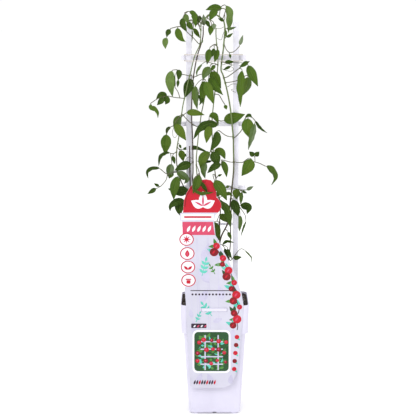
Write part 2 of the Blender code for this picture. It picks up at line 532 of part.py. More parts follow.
STALK_RADIUS = 0.0008
BLADE_HALF_THICKNESS = 0.00045
BLADE_FOLD = 0.16
BLADE_BOW = 0.06
NATURAL_RATIO = 0.34
MOST_TURN = math.radians(60)
BLADE_STATIONS = 5
BLADE_TIP_SHARE = 0.07
POINTS_AT_VIEWER = 0.25  # below this, a blade runs so straight at the viewer that its width is taken level
PIXEL = 0.0018
LEAVES = {
    "leaf_01": ("stem_left", 1.8, [
        (200, 44, -7), (198, 43, -12), (193, 37.5, -16), (186.5, 31.5, -18), (182, 27.5, -20),
        (178.5, 26.5, -22), (170.5, 28.5, -24),
    ], [
        (4.6, [(170.5, 28.5, -24)], [(170, 29.4, -25), (167.8, 33, -26), (166.5, 36.8, -26)]),
        (5.2, [(170.5, 28.5, -24), (169.4, 33, -22), (167.2, 36.4, -22.5)],
         [(166.6, 37.8, -23), (165.2, 42, -23.5), (165.4, 49, -23)]),
        (6.2, [(178.5, 26.5, -22)],
         [(177.4, 28, -22), (178.6, 34, -23.5), (181.2, 38.7, -25), (185.6, 41.9, -25)]),
    ]),
    "leaf_02": ("stem_left", 1.7, [
        (200.9, 23, -5), (198.5, 17, -12), (195.8, 13.5, -14), (192, 12, -15), (188, 11.4, -15),
        (184.5, 12.8, -14),
    ], [
        (5, [(184.5, 12.8, -14)], [(184.8, 14, -14), (188.3, 24, -12)]),
        (5.5, [(188, 11.4, -15), (184.5, 14.5, -18)],
         [(182.6, 18, -20), (182.8, 24, -22), (186.5, 31.5, -26)]),
        (5, [(188, 11.4, -15)], [(189.4, 11.4, -17), (194, 15, -19), (195.6, 27.5, -20)]),
    ]),
    "leaf_03": ("stem_left", 1.8, [(200.9, 30, -5.5), (198, 24, 2), (193, 21, 6), (187.5, 21, 8)], [
        (5.5, [(187.5, 21, 8)], [(187.3, 22, 8), (193, 30, 12)]),
        (4, [(193, 21, 6), (193.5, 26, 9)], [(193.8, 28.5, 10), (200, 38, 12)]),
        (1.6, [(193, 21, 6), (191.6, 26, 8)], [(192.2, 30, 8.5), (192.3, 43, 9)]),
    ]),
    "leaf_04": ("stem_left", 1.6, [(201, 24, -5), (202, 21, 2), (201.5, 18, 5), (199.8, 15.8, 6)], [
        (5.2, [(199.8, 15.8, 6)], [(199.6, 16, 7), (195.5, 26, 12)]),
        (4.4, [(201.5, 18, 5), (203.6, 24, 3)], [(203.9, 25.5, 3), (203.5, 14, 5)]),
    ]),
    "leaf_05": ("stem_right", 1.8, [
        (222, 19, -8), (224.5, 14, -12), (225.5, 9.8, -15), (223, 8.3, -17),
    ], [
        (6, [(223, 8.3, -17)], [(221.8, 8.6, -17.5), (213.5, 7.6, -18), (205.2, 10, -16)]),
        (6.5, [(223, 8.3, -17), (219, 9.6, -20)],
         [(217.5, 10.2, -20.5), (213, 13.5, -22), (209.8, 20.5, -25)]),
        (2.8, [(224.5, 14, -12), (224.8, 18, -14)], [(224, 20.8, -15), (218, 18.4, -16)]),
    ]),
    "leaf_06": ("stem_right", 2.2, [(219, 16.5, -8), (220, 11, 0), (221.5, 6.5, 3), (224.5, 4.8, 4)], [
        (6.5, [(224.5, 4.8, 4)], [(226, 5.6, 4), (229.6, 12, 5), (229.7, 22, 6), (228.7, 33, 9)]),
    ]),
    "leaf_07": ("stem_right", 1.4, [(208, 15.5, -8), (207.5, 18, -13), (209.5, 19.5, -15)], [
        (3.6, [(207.4, 17.8, -13)], [(206.3, 20.5, -13), (210, 28, -14)]),
        (5, [(209.5, 19.5, -15), (211.3, 23, -16)], [(211.4, 25.5, -16), (210, 35.5, -18)]),
        (4, [(209.2, 19.3, -14.6), (213, 21.6, -17)], [(213.8, 23.5, -19), (214.3, 29.5, -20)]),
    ]),
    "leaf_08": ("stem_right", 1.5, [(225, 30, -7), (225.6, 28.5, -13)], [
        (2.5, [(225.6, 28.5, -13)], [(226.5, 28.3, -14), (230, 29, -15), (236.5, 27, -16)]),
        (2.5, [(225.6, 28.5, -13)], [(225.6, 30, -15), (226, 38, -19)]),
    ]),
    "leaf_09": ("stem_right", 1.5, [
        (223.8, 45, -6), (226, 49, -14), (229, 52.3, -15), (233, 52, -15), (236, 50, -14),
        (239.3, 46.5, -12),
    ], [
        (3.2, [(239.3, 46.5, -12)], [(239.7, 45, -12), (243, 35, -10)]),
        (2.2, [(229, 52.3, -15)], [(229.8, 54, -16), (230.5, 58.5, -17)]),
    ]),
    "leaf_10": ("stem_centre", 1.6, [(216.8, 44, -8), (214, 44.5, -15), (210, 47.3, -18)], [
        (6, [(210, 47.3, -18)], [(209.5, 49, -18.5), (207, 64.5, -20)]),
        (5, [(214, 44.5, -15), (217.5, 46.5, -18)], [(218, 49.5, -18.5), (214.5, 62.5, -19)]),
        (4, [(214, 44.5, -15), (214.2, 47, -20)], [(214.2, 48.5, -22), (212, 57, -25)]),
    ]),
    "leaf_11": ("stem_left", 1.8, [
        (189.6, 76, -12), (185, 74.8, -15), (181, 74, -16), (177.5, 70, -17), (172.8, 70, -18),
    ], [
        (8, [(172.8, 70, -18)],
         [(172, 70.8, -18), (170, 79, -20), (171, 88, -20), (172.6, 96.8, -17)]),
        (5.2, [(177.5, 70, -17)], [(177, 70.2, -18), (179.2, 74, -21), (178, 80.5, -21)]),
        (2.6, [(177.5, 70, -17), (178.2, 78, -20)], [(178.2, 80, -20), (177.6, 87.5, -19)]),
    ]),
    "leaf_12": ("stem_left", 1.5, [
        (184.3, 98.5, -12), (180, 98, -17), (174, 97.3, -24), (168, 96, -29), (163, 96.8, -33),
        (157, 99, -36), (150.5, 103.5, -38),
    ], [
        (6, [(168, 96, -29)], [(167, 96.6, -30), (161.5, 95, -32), (156.3, 98.8, -36)]),
        (6, [(163, 96.8, -33)], [(163.8, 97, -31), (167, 100.5, -30), (165.3, 104.5, -29)]),
        (4.2, [(150.5, 103.5, -38)],
         [(150.7, 104, -38), (150.6, 107.6, -40), (154.5, 108.6, -42), (157.4, 112, -42), (158, 118, -41)]),
        (1.6, [(180, 98, -17), (178, 92, -16), (175.3, 87.8, -15)],
         [(175, 86.8, -15), (174.4, 80, -15), (174.8, 73, -15)]),
        (5, [(163, 96.8, -33)], [(163.5, 98, -34), (161, 101, -35), (157, 105.2, -35)]),
    ]),
    "leaf_13": ("stem_left", 1, [(190, 75, -12), (191.8, 75, -8.5)], [
        (9, [(191.8, 75, -8.5), (192, 77, -8)], [(191.4, 79, -7.5), (188, 88, -7), (184.5, 98, -7)]),
    ]),
    "leaf_14": ("stem_brown", 1.5, [
        (193.6, 77, -3), (197, 75.8, -12), (200, 74.5, -16), (203, 74.5, -20), (203.6, 78.5, -23),
    ], [
        (8, [(203.6, 78.5, -23), (205.5, 80, -26)],
         [(206, 81.5, -27), (209.2, 92, -30), (213.5, 104, -29)]),
        (6.5, [(203.6, 78.5, -23)], [(204.2, 81, -22), (203.3, 93, -22), (203.5, 105, -19)]),
        (6, [(203.6, 78.5, -23), (199, 81.5, -21)],
         [(195.4, 86, -20), (195, 98, -19), (196.5, 110, -17)]),
        (3.2, [(203.6, 78.5, -23), (199.6, 88, -23)],
         [(198.3, 95, -22.5), (201.8, 100, -22), (199.5, 105.5, -21)]),
    ]),
    "leaf_15": ("stem_centre", 1.4, [
        (217.7, 65, -4.5), (216, 64, -13), (213, 63.5, -22), (210.5, 65, -25),
    ], [
        (7, [(210.5, 65, -25)], [(210, 67, -26), (205.5, 73, -29), (202.6, 79.5, -33)]),
        (3.5, [(216, 64, -13)], [(215, 65.2, -14), (210.5, 70.5, -17)]),
        (2, [(213, 63.5, -22), (206, 61.8, -25)], [(202, 64, -27), (197, 71, -27), (196.6, 77, -26)]),
    ]),
    "leaf_16": ("stem_centre", 1.6, [(217.1, 73, -4), (214, 70.5, -10), (211.5, 70, -13)], [
        (9, [(211.5, 70, -13)], [(211.5, 71.5, -12.5), (216, 79.5, -11), (221, 88.5, -12)]),
        (7, [(211.5, 70, -13), (209, 74, -16)], [(208.6, 78, -17), (215, 86.5, -18), (223, 95, -18)]),
    ]),
    "flower_bud": ("stem_centre", 1.5, [
        (214.5, 94, -4), (219, 95, -12), (222, 100, -14), (224.5, 104, -15),
    ], [
        (3.4, [(224.5, 104, -15)], [(225, 105, -15), (226.6, 109.5, -16)]),
    ]),
    "leaf_17": ("stem_right", 1.3, [(221.8, 62, -5.3), (224, 62.3, -14)], [
        (3.8, [(224, 62.3, -14)], [(225, 62.2, -15), (234, 61.8, -16)]),
        (2.5, [(224, 62.3, -14), (229, 64, -18), (231.5, 65, -19)], [(230.5, 66.3, -19), (223, 70, -17)]),
    ]),
    "leaf_18": ("stem_right", 1.7, [
        (223.8, 78, -6.3), (228, 76.5, -12), (233, 73, -16), (239, 68.5, -20), (244, 65, -22),
        (247.5, 63.5, -22),
    ], [
        (8, [(247.5, 63.5, -22)], [(248, 65.5, -22), (252.5, 75, -25), (258, 86.5, -24)]),
        (7, [(239, 68.5, -20), (241.5, 69, -24)],
         [(242.2, 70.5, -25), (241.2, 88, -28), (240.6, 107, -27)]),
        (4, [(247.5, 63.5, -22), (249.3, 61.3, -24)], [(248, 61.5, -26), (239.5, 67.5, -29)]),
    ]),
    "leaf_19": ("stem_right", 1.3, [
        (225.2, 83, -6.7), (229, 82.3, -11), (235, 81.2, -13), (240, 79.3, -14), (244, 76.5, -15),
        (247.5, 75.2, -15),
    ], [
        (8, [(247.5, 75.2, -15)], [(248, 77, -15), (246.8, 85, -17), (242, 96, -16)]),
    ]),
    "leaf_20": ("stem_left", 1.5, [(181.4, 116, -12), (184, 114.5, -17), (186, 113, -18)], [
        (6, [(186, 113, -18)], [(186.6, 112.6, -18), (195, 112.6, -20), (204.3, 115, -22)]),
    ]),
    "leaf_21": ("stem_left", 1.8, [(181.4, 116, -12), (179.8, 115.6, -17), (178.5, 118, -19)], [
        (7, [(179.8, 115.6, -17)], [(179.5, 115.8, -18), (177, 121.5, -17), (173.6, 128.5, -15)]),
        (8, [(178.5, 118, -19), (175.5, 122, -20)],
         [(175.2, 124.3, -20), (180, 131, -22), (186, 140.3, -20)]),
    ]),
    "leaf_22": ("stem_left", 3.0, [
        (180.2, 127, -12), (175, 125.5, -6), (171, 126.8, -3), (168, 129, -2), (166.8, 133, -2),
    ], [
        (9.5, [(166.8, 133, -2)], [(166.4, 134.4, -2), (165.8, 144.5, -4), (165, 154.5, -2)]),
        (3, [(171, 126.8, -3)], [(170.4, 126.9, -3), (167.4, 129.6, -2), (166.4, 135, -2)]),
    ]),
    "leaf_23": ("stem_left", 1.3, [
        (181.4, 114.5, -12), (186.5, 119, -18), (191.5, 123.5, -20), (199, 127, -22), (205, 122.5, -24),
        (209, 120, -24),
    ], [
        (7.5, [(209, 120, -24), (214, 121.3, -25), (218, 124, -26)],
         [(218, 125.3, -26), (209, 124.6, -28), (200.5, 129, -28), (194.8, 140, -27)]),
        (7, [(209, 120, -24), (210, 124.5, -27)],
         [(209.6, 126, -29), (207.8, 134, -30), (206.3, 143, -29)]),
        (5.4, [(209, 120, -24)], [(209.2, 116.4, -23), (214.5, 115.6, -22), (218.6, 124, -20)]),
    ]),
    "leaf_24": ("stem_left", 1.5, [(177.2, 147.5, -9), (178.6, 148.8, 0), (181, 149.6, 12)], [
        (3.4, [(181, 149.6, 12)],
         [(182.5, 149.4, 13), (190, 147.4, 14.5), (198, 148, 15), (209, 152.5, 14)]),
        (6, [(178.6, 148.8, 0)], [(180, 150.5, -1), (182, 155, -2), (183.3, 161.5, -3)]),
        (2.6, [(181, 149.6, 12), (182.5, 153, 12)], [(183.6, 155.4, 12), (189, 154.8, 11)]),
    ]),
    "leaf_25": ("stem_left", 1.8, [(176.7, 152, -8.5), (173.5, 153.6, -14), (170.5, 153.2, -16)], [
        (3.4, [(170.5, 153.2, -16)],
         [(169.8, 153, -16), (165, 153.4, -18), (160.4, 157.5, -19), (159.6, 166, -20)]),
        (3.4, [(173.5, 153.6, -14)], [(172.6, 156, -16), (175, 164, -18)]),
        (7, [(170.5, 153.2, -16), (171.5, 160, -14)],
         [(171.6, 164, -13), (170, 170, -14), (169, 178.5, -13)]),
    ]),
    "leaf_26": ("stem_centre", 1, [(212.4, 118, -4), (216, 119.5, -3), (221, 121, -2.6)], [
        (10, [(221, 121, -2.6)], [(224, 120.5, -2.2), (234, 117.6, -2.2), (245, 114.5, -3)]),
    ]),
    "leaf_27": ("stem_right", 1.6, [
        (233.3, 137.7, -6), (237, 135.5, -12), (241, 131, -15), (243.2, 126, -17), (244.5, 119.5, -18),
        (248, 116.5, -18), (252, 117.5, -19), (255, 120.5, -20),
    ], [
        (2.6, [(255, 120.5, -20)], [(255.4, 121, -20), (259.5, 127.5, -22), (266.5, 134, -22)]),
        (10.5, [(248, 116.5, -18)], [(248, 118.5, -21), (247.6, 128, -24), (249.3, 138, -23)]),
        (5, [(255, 120.5, -20), (255.3, 122, -26)],
         [(254.6, 123.5, -28), (251.6, 135, -31), (247, 149.8, -30)]),
        (3, [(252, 117.5, -19)], [(251.6, 116.4, -23), (248.5, 115.2, -24), (245, 117.4, -24)]),
    ]),
    "leaf_28": ("stem_right", 1.5, [
        (233.2, 136.5, -6), (229, 136.5, -12), (225, 135, -14), (219, 130.5, -16),
    ], [
        (7.5, [(219, 130.5, -16)], [(216.6, 131.3, -17), (216.6, 140, -19), (210.3, 151.3, -22)]),
    ]),
    "leaf_29": ("stem_centre", 1.6, [(213, 148, -4), (211.8, 149.5, -10), (211, 150.5, -13)], [
        (6.5, [(211.8, 149.5, -10)], [(214.5, 150.3, -11), (221.5, 152, -12), (225.3, 159.5, -12)]),
        (9, [(211, 150.5, -13)], [(212, 152, -14), (215.6, 158, -16), (218, 166.5, -15)]),
        (8.5, [(211, 150.5, -13)], [(209.8, 152.3, -15), (203, 158.5, -18), (200.8, 170, -18)]),
        (5.5, [(211, 150.5, -13), (207, 158, -17)],
         [(205.8, 163, -19), (203.5, 171, -20), (205.2, 178.5, -19)]),
        (2.4, [(211, 150.5, -13), (212.3, 157, -10.5)],
         [(211.8, 161, -10), (203, 162, -9.5), (196.5, 161, -9)]),
    ]),
    "leaf_30": ("stem_right", 1.5, [
        (233.8, 162, -6), (230, 162, -12), (225, 160.6, -15), (221.5, 159.8, -17),
    ], [
        (5.5, [(221.5, 159.8, -17)], [(221.8, 160.8, -17), (225.3, 168, -18), (226.6, 177.3, -19)]),
        (6, [(221.5, 159.8, -17), (221.8, 162.5, -20)],
         [(221, 164.3, -21), (214, 166.8, -23), (207.2, 173.5, -23)]),
    ]),
    "leaf_31": ("stem_right", 1, [
        (233.8, 162, -6), (238.5, 162.5, -10), (243, 162.3, -6), (249, 161, 6), (255, 162, 20),
        (260, 163.5, 36), (265, 166, 54),
    ], [
        (5.5, [(265, 166, 54)],
         [(266.5, 166.3, 58), (273.3, 170.5, 68), (276.4, 177, 72), (273.3, 186, 70)]),
        (10.5, [(243, 162.3, -6), (248.5, 158.3, -12)],
         [(251.5, 159, -14), (248.6, 166, -17), (241.5, 176.5, -14)]),
        (4.6, [(255, 162, 20), (254.8, 157.5, 20)], [(254.2, 156, 20), (249.2, 151.6, 18)]),
        (4.6, [(254.8, 157.5, 20)], [(255.3, 156, 20), (259.2, 151.6, 22)]),
    ]),
    "leaf_32": ("stem_left", 1, [
        (178, 172, -8), (175, 171.5, -16), (171, 173, -28), (167.5, 174, -38), (164.5, 172.5, -46),
        (161, 169.5, -52),
    ], [
        (3.6, [(161, 169.5, -52)],
         [(159.5, 168.5, -54), (153, 168, -60), (147.5, 171.5, -64), (148.5, 178.5, -64)]),
        (2.6, [(167.5, 174, -38), (166, 180, -40), (161, 186, -44)],
         [(159, 186.3, -45), (154, 183.5, -47)]),
        (4, [(161, 186, -44), (157.5, 188, -46)], [(156, 188.5, -46), (147.5, 194, -48)]),
    ]),
    "leaf_33": ("stem_brown", 1, [(193, 162, -3), (192.3, 162.5, -11)], [
        (8, [(192.3, 162.5, -11)], [(191, 164, -14), (183, 166, -18), (174.5, 170.5, -19)]),
    ]),
    "leaf_34": ("stem_left", 1.2, [(178.2, 173, -8), (177.5, 171.5, -14)], [
        (7, [(177.5, 171.5, -14), (176.3, 170.8, -22)],
         [(177, 171.8, -24), (182, 175, -27), (187, 179.5, -26), (184, 184, -24)]),
    ]),
    "leaf_35": ("stem_left", 1.2, [
        (180.6, 180, -8.9), (179.4, 181.5, -18), (178.3, 180.5, -28), (178, 177.8, -31),
    ], [
        (8.5, [(178, 177.8, -31)], [(178, 176.5, -32), (174.3, 188, -35), (173.6, 200.5, -33)]),
    ]),
    "leaf_36": ("stem_left", 1.3, [(184, 188, -10), (186.5, 188.3, -13.5), (188.5, 189.3, -17)], [
        (9, [(188.5, 189.3, -17)], [(188, 189.6, -18), (180, 191, -20), (168, 188.8, -19)]),
    ]),
    "leaf_37": ("stem_left", 1.2, [(187.2, 201, -12.6), (185.5, 199.8, -20)], [
        (6.5, [(185.5, 199.8, -20)],
         [(184, 200, -22), (176.5, 202, -25), (170.8, 206, -24), (170, 211.5, -23)]),
        (9, [(185.5, 199.8, -20)], [(184.5, 201, -19), (179.5, 207, -19), (180.3, 216, -18)]),
    ]),
    "leaf_38": ("stem_pale", 1, [
        (196.5, 165, -9.3), (197.3, 167, -26), (198.5, 170, -48), (199.3, 173, -68),
    ], [
        (8, [(199.3, 173, -68)], [(199, 175, -68), (196.5, 184, -66), (193, 193.5, -65)]),
        (3.6, [(199.3, 173, -68), (200.5, 178, -67)], [(200.8, 182, -66.5), (208, 193.5, -66)]),
        (3.5, [(199.3, 173, -68), (193.5, 180, -72), (192.5, 188, -72)],
         [(194, 190.3, -71), (201, 193.6, -70), (214, 193, -67)]),
    ]),
    "leaf_39": ("stem_centre", 1, [
        (216, 176, -5), (214, 174.5, -24), (213, 174.5, -48), (213.3, 177, -66),
    ], [
        (9, [(213.3, 177, -66)], [(214.5, 180.5, -68), (221.3, 189.5, -68), (227, 200.5, -66)]),
    ]),
    "leaf_40": ("stem_right", 1.8, [
        (231.9, 188, -6), (236, 188.6, -11), (240, 189.8, -14), (246, 190, -18),
    ], [
        (3.2, [(246, 190, -18)], [(246.6, 189.9, -18), (253.5, 186.3, -19)]),
        (7, [(236, 188.6, -11)], [(236.4, 188.8, -13), (236.3, 199.5, -15)]),
        (3.6, [(240, 189.8, -14)], [(241.6, 192, -17), (241, 205, -19)]),
        (2.4, [(240, 189.8, -14)], [(242, 191, -15.5), (247, 193.3, -18)]),
    ]),
    "leaf_41": ("stem_centre", 1.2, [(219.7, 199, -5), (218.3, 197.5, -14), (217.8, 198, -26)], [
        (6.8, [(217.8, 198, -26)], [(218.3, 200, -29), (227.2, 210, -33), (231.2, 228, -30)]),
        (4.4, [(217.8, 198, -26)], [(217.9, 196.6, -26), (216.8, 191.4, -27)]),
        (3.4, [(217.8, 198, -26), (222, 196.4, -24)],
         [(225, 194.6, -24), (229, 193.6, -24), (233, 196.2, -23)]),
    ]),
    "leaf_42": ("stem_right", 1.3, [(230.5, 199, -7.3), (231.8, 198, -14)], [
        (8, [(231.8, 198, -14)], [(232.6, 199.8, -15), (235.6, 207, -18), (238.6, 217, -17)]),
    ]),
    "leaf_43": ("stem_low", 2.5, [(231.4, 207, 8), (235, 206, 12), (239, 206, 13)], [
        (7, [(239, 206, 13)], [(240.5, 205.5, 12), (248.5, 207, 10), (247, 214, 8)]),
        (5, [(239, 206, 13), (240, 212, 14)], [(240, 215.5, 14), (239.5, 231.5, 12)]),
        (1.8, [(239, 206, 13), (245, 215, 16)], [(246, 221.5, 16), (240.5, 236, 15)]),
    ]),
    "leaf_44": ("stem_centre", 1.2, [(219.6, 222, -4), (217, 221, -12)], [
        (8, [(217, 221, -12)], [(213.5, 222, -17), (216.6, 231, -20), (219, 240.5, -20)]),
        (6, [(217, 221, -12), (219.5, 214.5, -17)], [(220.6, 214, -18), (227.5, 222.5, -20)]),
    ]),
    "leaf_45": ("stem_right", 1, [(219.5, 244, -11.7), (222, 244.8, -18)], [
        (3, [(222, 244.8, -18)], [(222.8, 244.5, -18.5), (227, 241.7, -20), (234, 242.7, -20)]),
        (3.5, [(222, 244.8, -18), (224, 247, -19)], [(224.6, 248.4, -19), (228.5, 260.5, -20)]),
        (3, [(222, 244.8, -18), (226.8, 246.5, -22)], [(227.4, 248.8, -23), (231.8, 259, -24)]),
    ]),
    "leaf_46": ("stem_low", 1, [(228.8, 259, 1.5), (230.5, 260.5, -5), (232.8, 258.3, -6)], [
        (4, [(232.8, 258.3, -6)], [(233.5, 258.2, -6), (241.8, 257, -7)]),
        (1.2, [(232.8, 258.3, -6), (237, 252.5, -12), (241, 248.8, -13)],
         [(245, 250.3, -14), (251.3, 257, -15), (251.5, 262.5, -15)]),
    ]),
}


def nearest_on(route, point):
    """The nearest point on a route, and the way the route runs there."""
    best = None
    for a, b in zip(route, route[1:]):
        along = b - a
        t = max(0.0, min(1.0, (point - a).dot(along) / along.length_squared))
        found = a + along * t
        if best is None or (found - point).length < (best[0] - point).length:
            best = (found, along.normalized())
    return best


def drawn_out(points, start_depth, reach):
    """The same places on the front view, with their depths moved away from the start's by this factor."""
    return [(column, row, start_depth + (depth - start_depth) * reach) for column, row, depth in points]


def stalk_start(stem, points):
    """The stalk's route from just off its stem's side: straight out a little way, then through its points."""
    radius, _colour, stem_points = STEMS[stem]
    foot, along = nearest_on(stem_route(stem_points), seen_at(*points[0]))
    way = seen_at(*points[1]) - foot
    out = (way - along * way.dot(along)).normalized()
    start = foot + out * (radius * FOOT_GROWTH + GAP)
    return [start, start + out * 2 * STALK_RADIUS, *(seen_at(*point) for point in points[1:])]


def runs(path):
    """The way a path runs at each of its points."""
    before = [path[0], *path[:-1]]
    after = [*path[1:], path[-1]]
    return [(b - a).normalized() for a, b in zip(before, after)]


def station_ring(point, along, turn, half_width, half_thickness, fold):
    """Four corners of a flat section square to the way the stalk or blade runs, its middle folded back."""
    side = along.cross(Vector((0, 1, 0)))
    if side.length < POINTS_AT_VIEWER:
        side = along.cross(Vector((0, 0, 1)))
    side.normalize()
    side = Matrix.Rotation(turn, 3, along) @ side
    face = side.cross(along).normalized()
    middle = point + face * fold * half_width
    return [
        point + side * half_width,
        middle + face * half_thickness,
        point - side * half_width,
        middle - face * half_thickness,
    ]


def stalk_rings(path, radius):
    return [station_ring(point, along, 0, radius, radius, 0) for point, along in zip(path, runs(path))]


def blade_width_share(t):
    """A leaflet's half width along its length: broad near the base, drawn out to a long tip."""
    return max(BLADE_TIP_SHARE, math.sin(math.pi * t**0.7) ** 0.9)


def resampled(path, count):
    """This many points spaced evenly along a path."""
    lengths = [0.0]
    for a, b in zip(path, path[1:]):
        lengths.append(lengths[-1] + (b - a).length)
    points = []
    for index in range(count):
        at = lengths[-1] * index / (count - 1)
        leg = max(i for i in range(len(path) - 1) if lengths[i] <= at + 1e-9)
        share = (at - lengths[leg]) / (lengths[leg + 1] - lengths[leg])
        points.append(path[leg].lerp(path[leg + 1], min(1.0, share)))
    return points


def leaflet_mesh(name, width, stalk, blade, side):
    """One leaflet, its stalk's end run inside the leaf's stalk so that the two become one body."""
    stalk_path = smooth_path([seen_at(*point) for point in [*stalk, blade[0]]], 2)[:-1]
    blade_path = resampled(smooth_path([seen_at(*point) for point in blade], 4), BLADE_STATIONS + 1)
    length = sum((b - a).length for a, b in zip(blade_path, blade_path[1:]))
    apparent = width * PIXEL
    real = min(max(apparent, NATURAL_RATIO * length), apparent / math.cos(MOST_TURN))
    turn = side * math.acos(apparent / real)
    rings = stalk_rings(stalk_path, STALK_RADIUS)
    for index, (point, along) in enumerate(zip(blade_path, runs(blade_path))):
        t = index / BLADE_STATIONS
        bow = Vector((0, -BLADE_BOW * length * math.sin(math.pi * t), 0))
        half = real / 2 * blade_width_share(t)
        if index:
            rings.append(station_ring(point + bow, along, turn, half, BLADE_HALF_THICKNESS, BLADE_FOLD))
    return loft_mesh(name, rings)


def leaves():
    for name, (stem, reach, stalk, leaflets) in LEAVES.items():
        start_depth = stalk[0][2]
        path = stalk_start(stem, drawn_out(stalk, start_depth, reach))
        obj = place(name, loft_mesh(name, stalk_rings(path, STALK_RADIUS)), LEAF_GREEN)
        for number, (width, leaflet_stalk, blade) in enumerate(leaflets, 1):
            side = 1 if (number + len(name) + len(blade)) % 2 else -1
            piece = f"{name}_leaflet_{number}"
            leaflet_stalk = drawn_out(leaflet_stalk, start_depth, reach)
            blade = drawn_out(blade, start_depth, reach)
            boolean(obj, helper(piece, leaflet_mesh(piece, width, leaflet_stalk, blade, side)), "UNION")


clear_scene()
pot()
root_ball()
trellis()
elastic_band()
plant_label()
stems()
leaves()
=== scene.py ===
"""A young clematis climbing a white ladder trellis in a tall square pot, on a plain pale floor.

Metres, +Z up, origin in the middle of the pot's base, the label and the front towards -Y.
"""

import math
import random

import bmesh
import bpy
from mathutils import Matrix, Vector, noise


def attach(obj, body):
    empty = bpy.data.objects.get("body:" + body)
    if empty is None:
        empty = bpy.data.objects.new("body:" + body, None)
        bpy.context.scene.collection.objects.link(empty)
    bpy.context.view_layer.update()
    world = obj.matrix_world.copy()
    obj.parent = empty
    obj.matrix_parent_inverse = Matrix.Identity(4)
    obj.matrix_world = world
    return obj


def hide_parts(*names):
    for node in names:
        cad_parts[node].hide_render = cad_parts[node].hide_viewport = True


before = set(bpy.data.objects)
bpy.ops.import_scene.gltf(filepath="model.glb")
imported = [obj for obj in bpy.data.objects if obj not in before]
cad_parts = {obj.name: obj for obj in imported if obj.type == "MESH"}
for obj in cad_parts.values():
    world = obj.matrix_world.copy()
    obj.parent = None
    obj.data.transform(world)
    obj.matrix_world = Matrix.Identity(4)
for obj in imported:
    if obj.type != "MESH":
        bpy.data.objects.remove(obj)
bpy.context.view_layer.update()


# The studio: a wide matt floor that runs out to the horizon, even white light from all round, and three
# soft lamps, two in front and one behind, that give the leaves and the plastic their shading.

CAMERA_PLACE = Vector((-0.0121, -2.2, 0.70))
CAMERA_TILT = math.radians(8.42)
CAMERA_LENS = 105.4
FILM_WIDTH = 36
FARTHEST_SEEN = 1000
FLOOR_RADIUS = 400
FLOOR_WHITE = (0.985, 0.985, 0.985, 1)
SKY_WHITE = (1, 1, 1, 1)
SKY_STRENGTH = 1.03

camera = bpy.data.objects.new("camera", bpy.data.cameras.new("camera"))
bpy.context.scene.collection.objects.link(camera)
camera.location = CAMERA_PLACE
camera.rotation_euler = (math.pi / 2 - CAMERA_TILT, 0, 0)
camera.data.sensor_width = FILM_WIDTH
camera.data.lens = CAMERA_LENS
camera.data.clip_end = FARTHEST_SEEN
bpy.context.scene.camera = camera

floor_bm = bmesh.new()
bmesh.ops.create_circle(floor_bm, cap_ends=True, segments=64, radius=FLOOR_RADIUS)
floor_mesh = bpy.data.meshes.new("studio_floor")
floor_bm.to_mesh(floor_mesh)
floor_bm.free()
floor = bpy.data.objects.new("studio_floor", floor_mesh)
bpy.context.scene.collection.objects.link(floor)
floor_paint = bpy.data.materials.new("studio_floor")
floor_paint.use_nodes = True
floor_shader = floor_paint.node_tree.nodes["Principled BSDF"]
floor_shader.inputs["Base Color"].default_value = FLOOR_WHITE
floor_shader.inputs["Roughness"].default_value = 0.9
floor_shader.inputs["Specular IOR Level"].default_value = 0.1
floor_mesh.materials.append(floor_paint)


def softbox(name, place, aim, size, watts):
    """A square lamp of this size at this place, turned towards the point that it is aimed at."""
    lamp = bpy.data.lights.new(name, "AREA")
    lamp.shape = "SQUARE"
    lamp.size = size
    lamp.energy = watts
    lamp_object = bpy.data.objects.new(name, lamp)
    bpy.context.scene.collection.objects.link(lamp_object)
    lamp_object.location = place
    lamp_object.rotation_euler = (Vector(aim) - Vector(place)).to_track_quat("-Z", "Y").to_euler()


softbox("key_softbox", (-1.3, -2.3, 1.9), (0, 0, 0.4), 1.2, 26)
softbox("fill_softbox", (1.6, -2.0, 1.2), (0, 0, 0.35), 1.4, 10)
softbox("back_softbox", (0.4, 2.2, 2.2), (0, 0, 0.5), 1.4, 12)

world = bpy.data.worlds.new("studio_light")
world.use_nodes = True
sky = world.node_tree.nodes["Background"]
sky.inputs["Color"].default_value = SKY_WHITE
sky.inputs["Strength"].default_value = SKY_STRENGTH
bpy.context.scene.world = world
bpy.context.scene.view_settings.view_transform = "Standard"


# The pot: a thin square tub of white polypropylene with a deep collar, corner feet and a moulded strap
# for the label, from one injection mould. Its satin skin is faintly mottled, has fine scuffs up and down
# its walls, and carries a little dust from the compost near its rim.


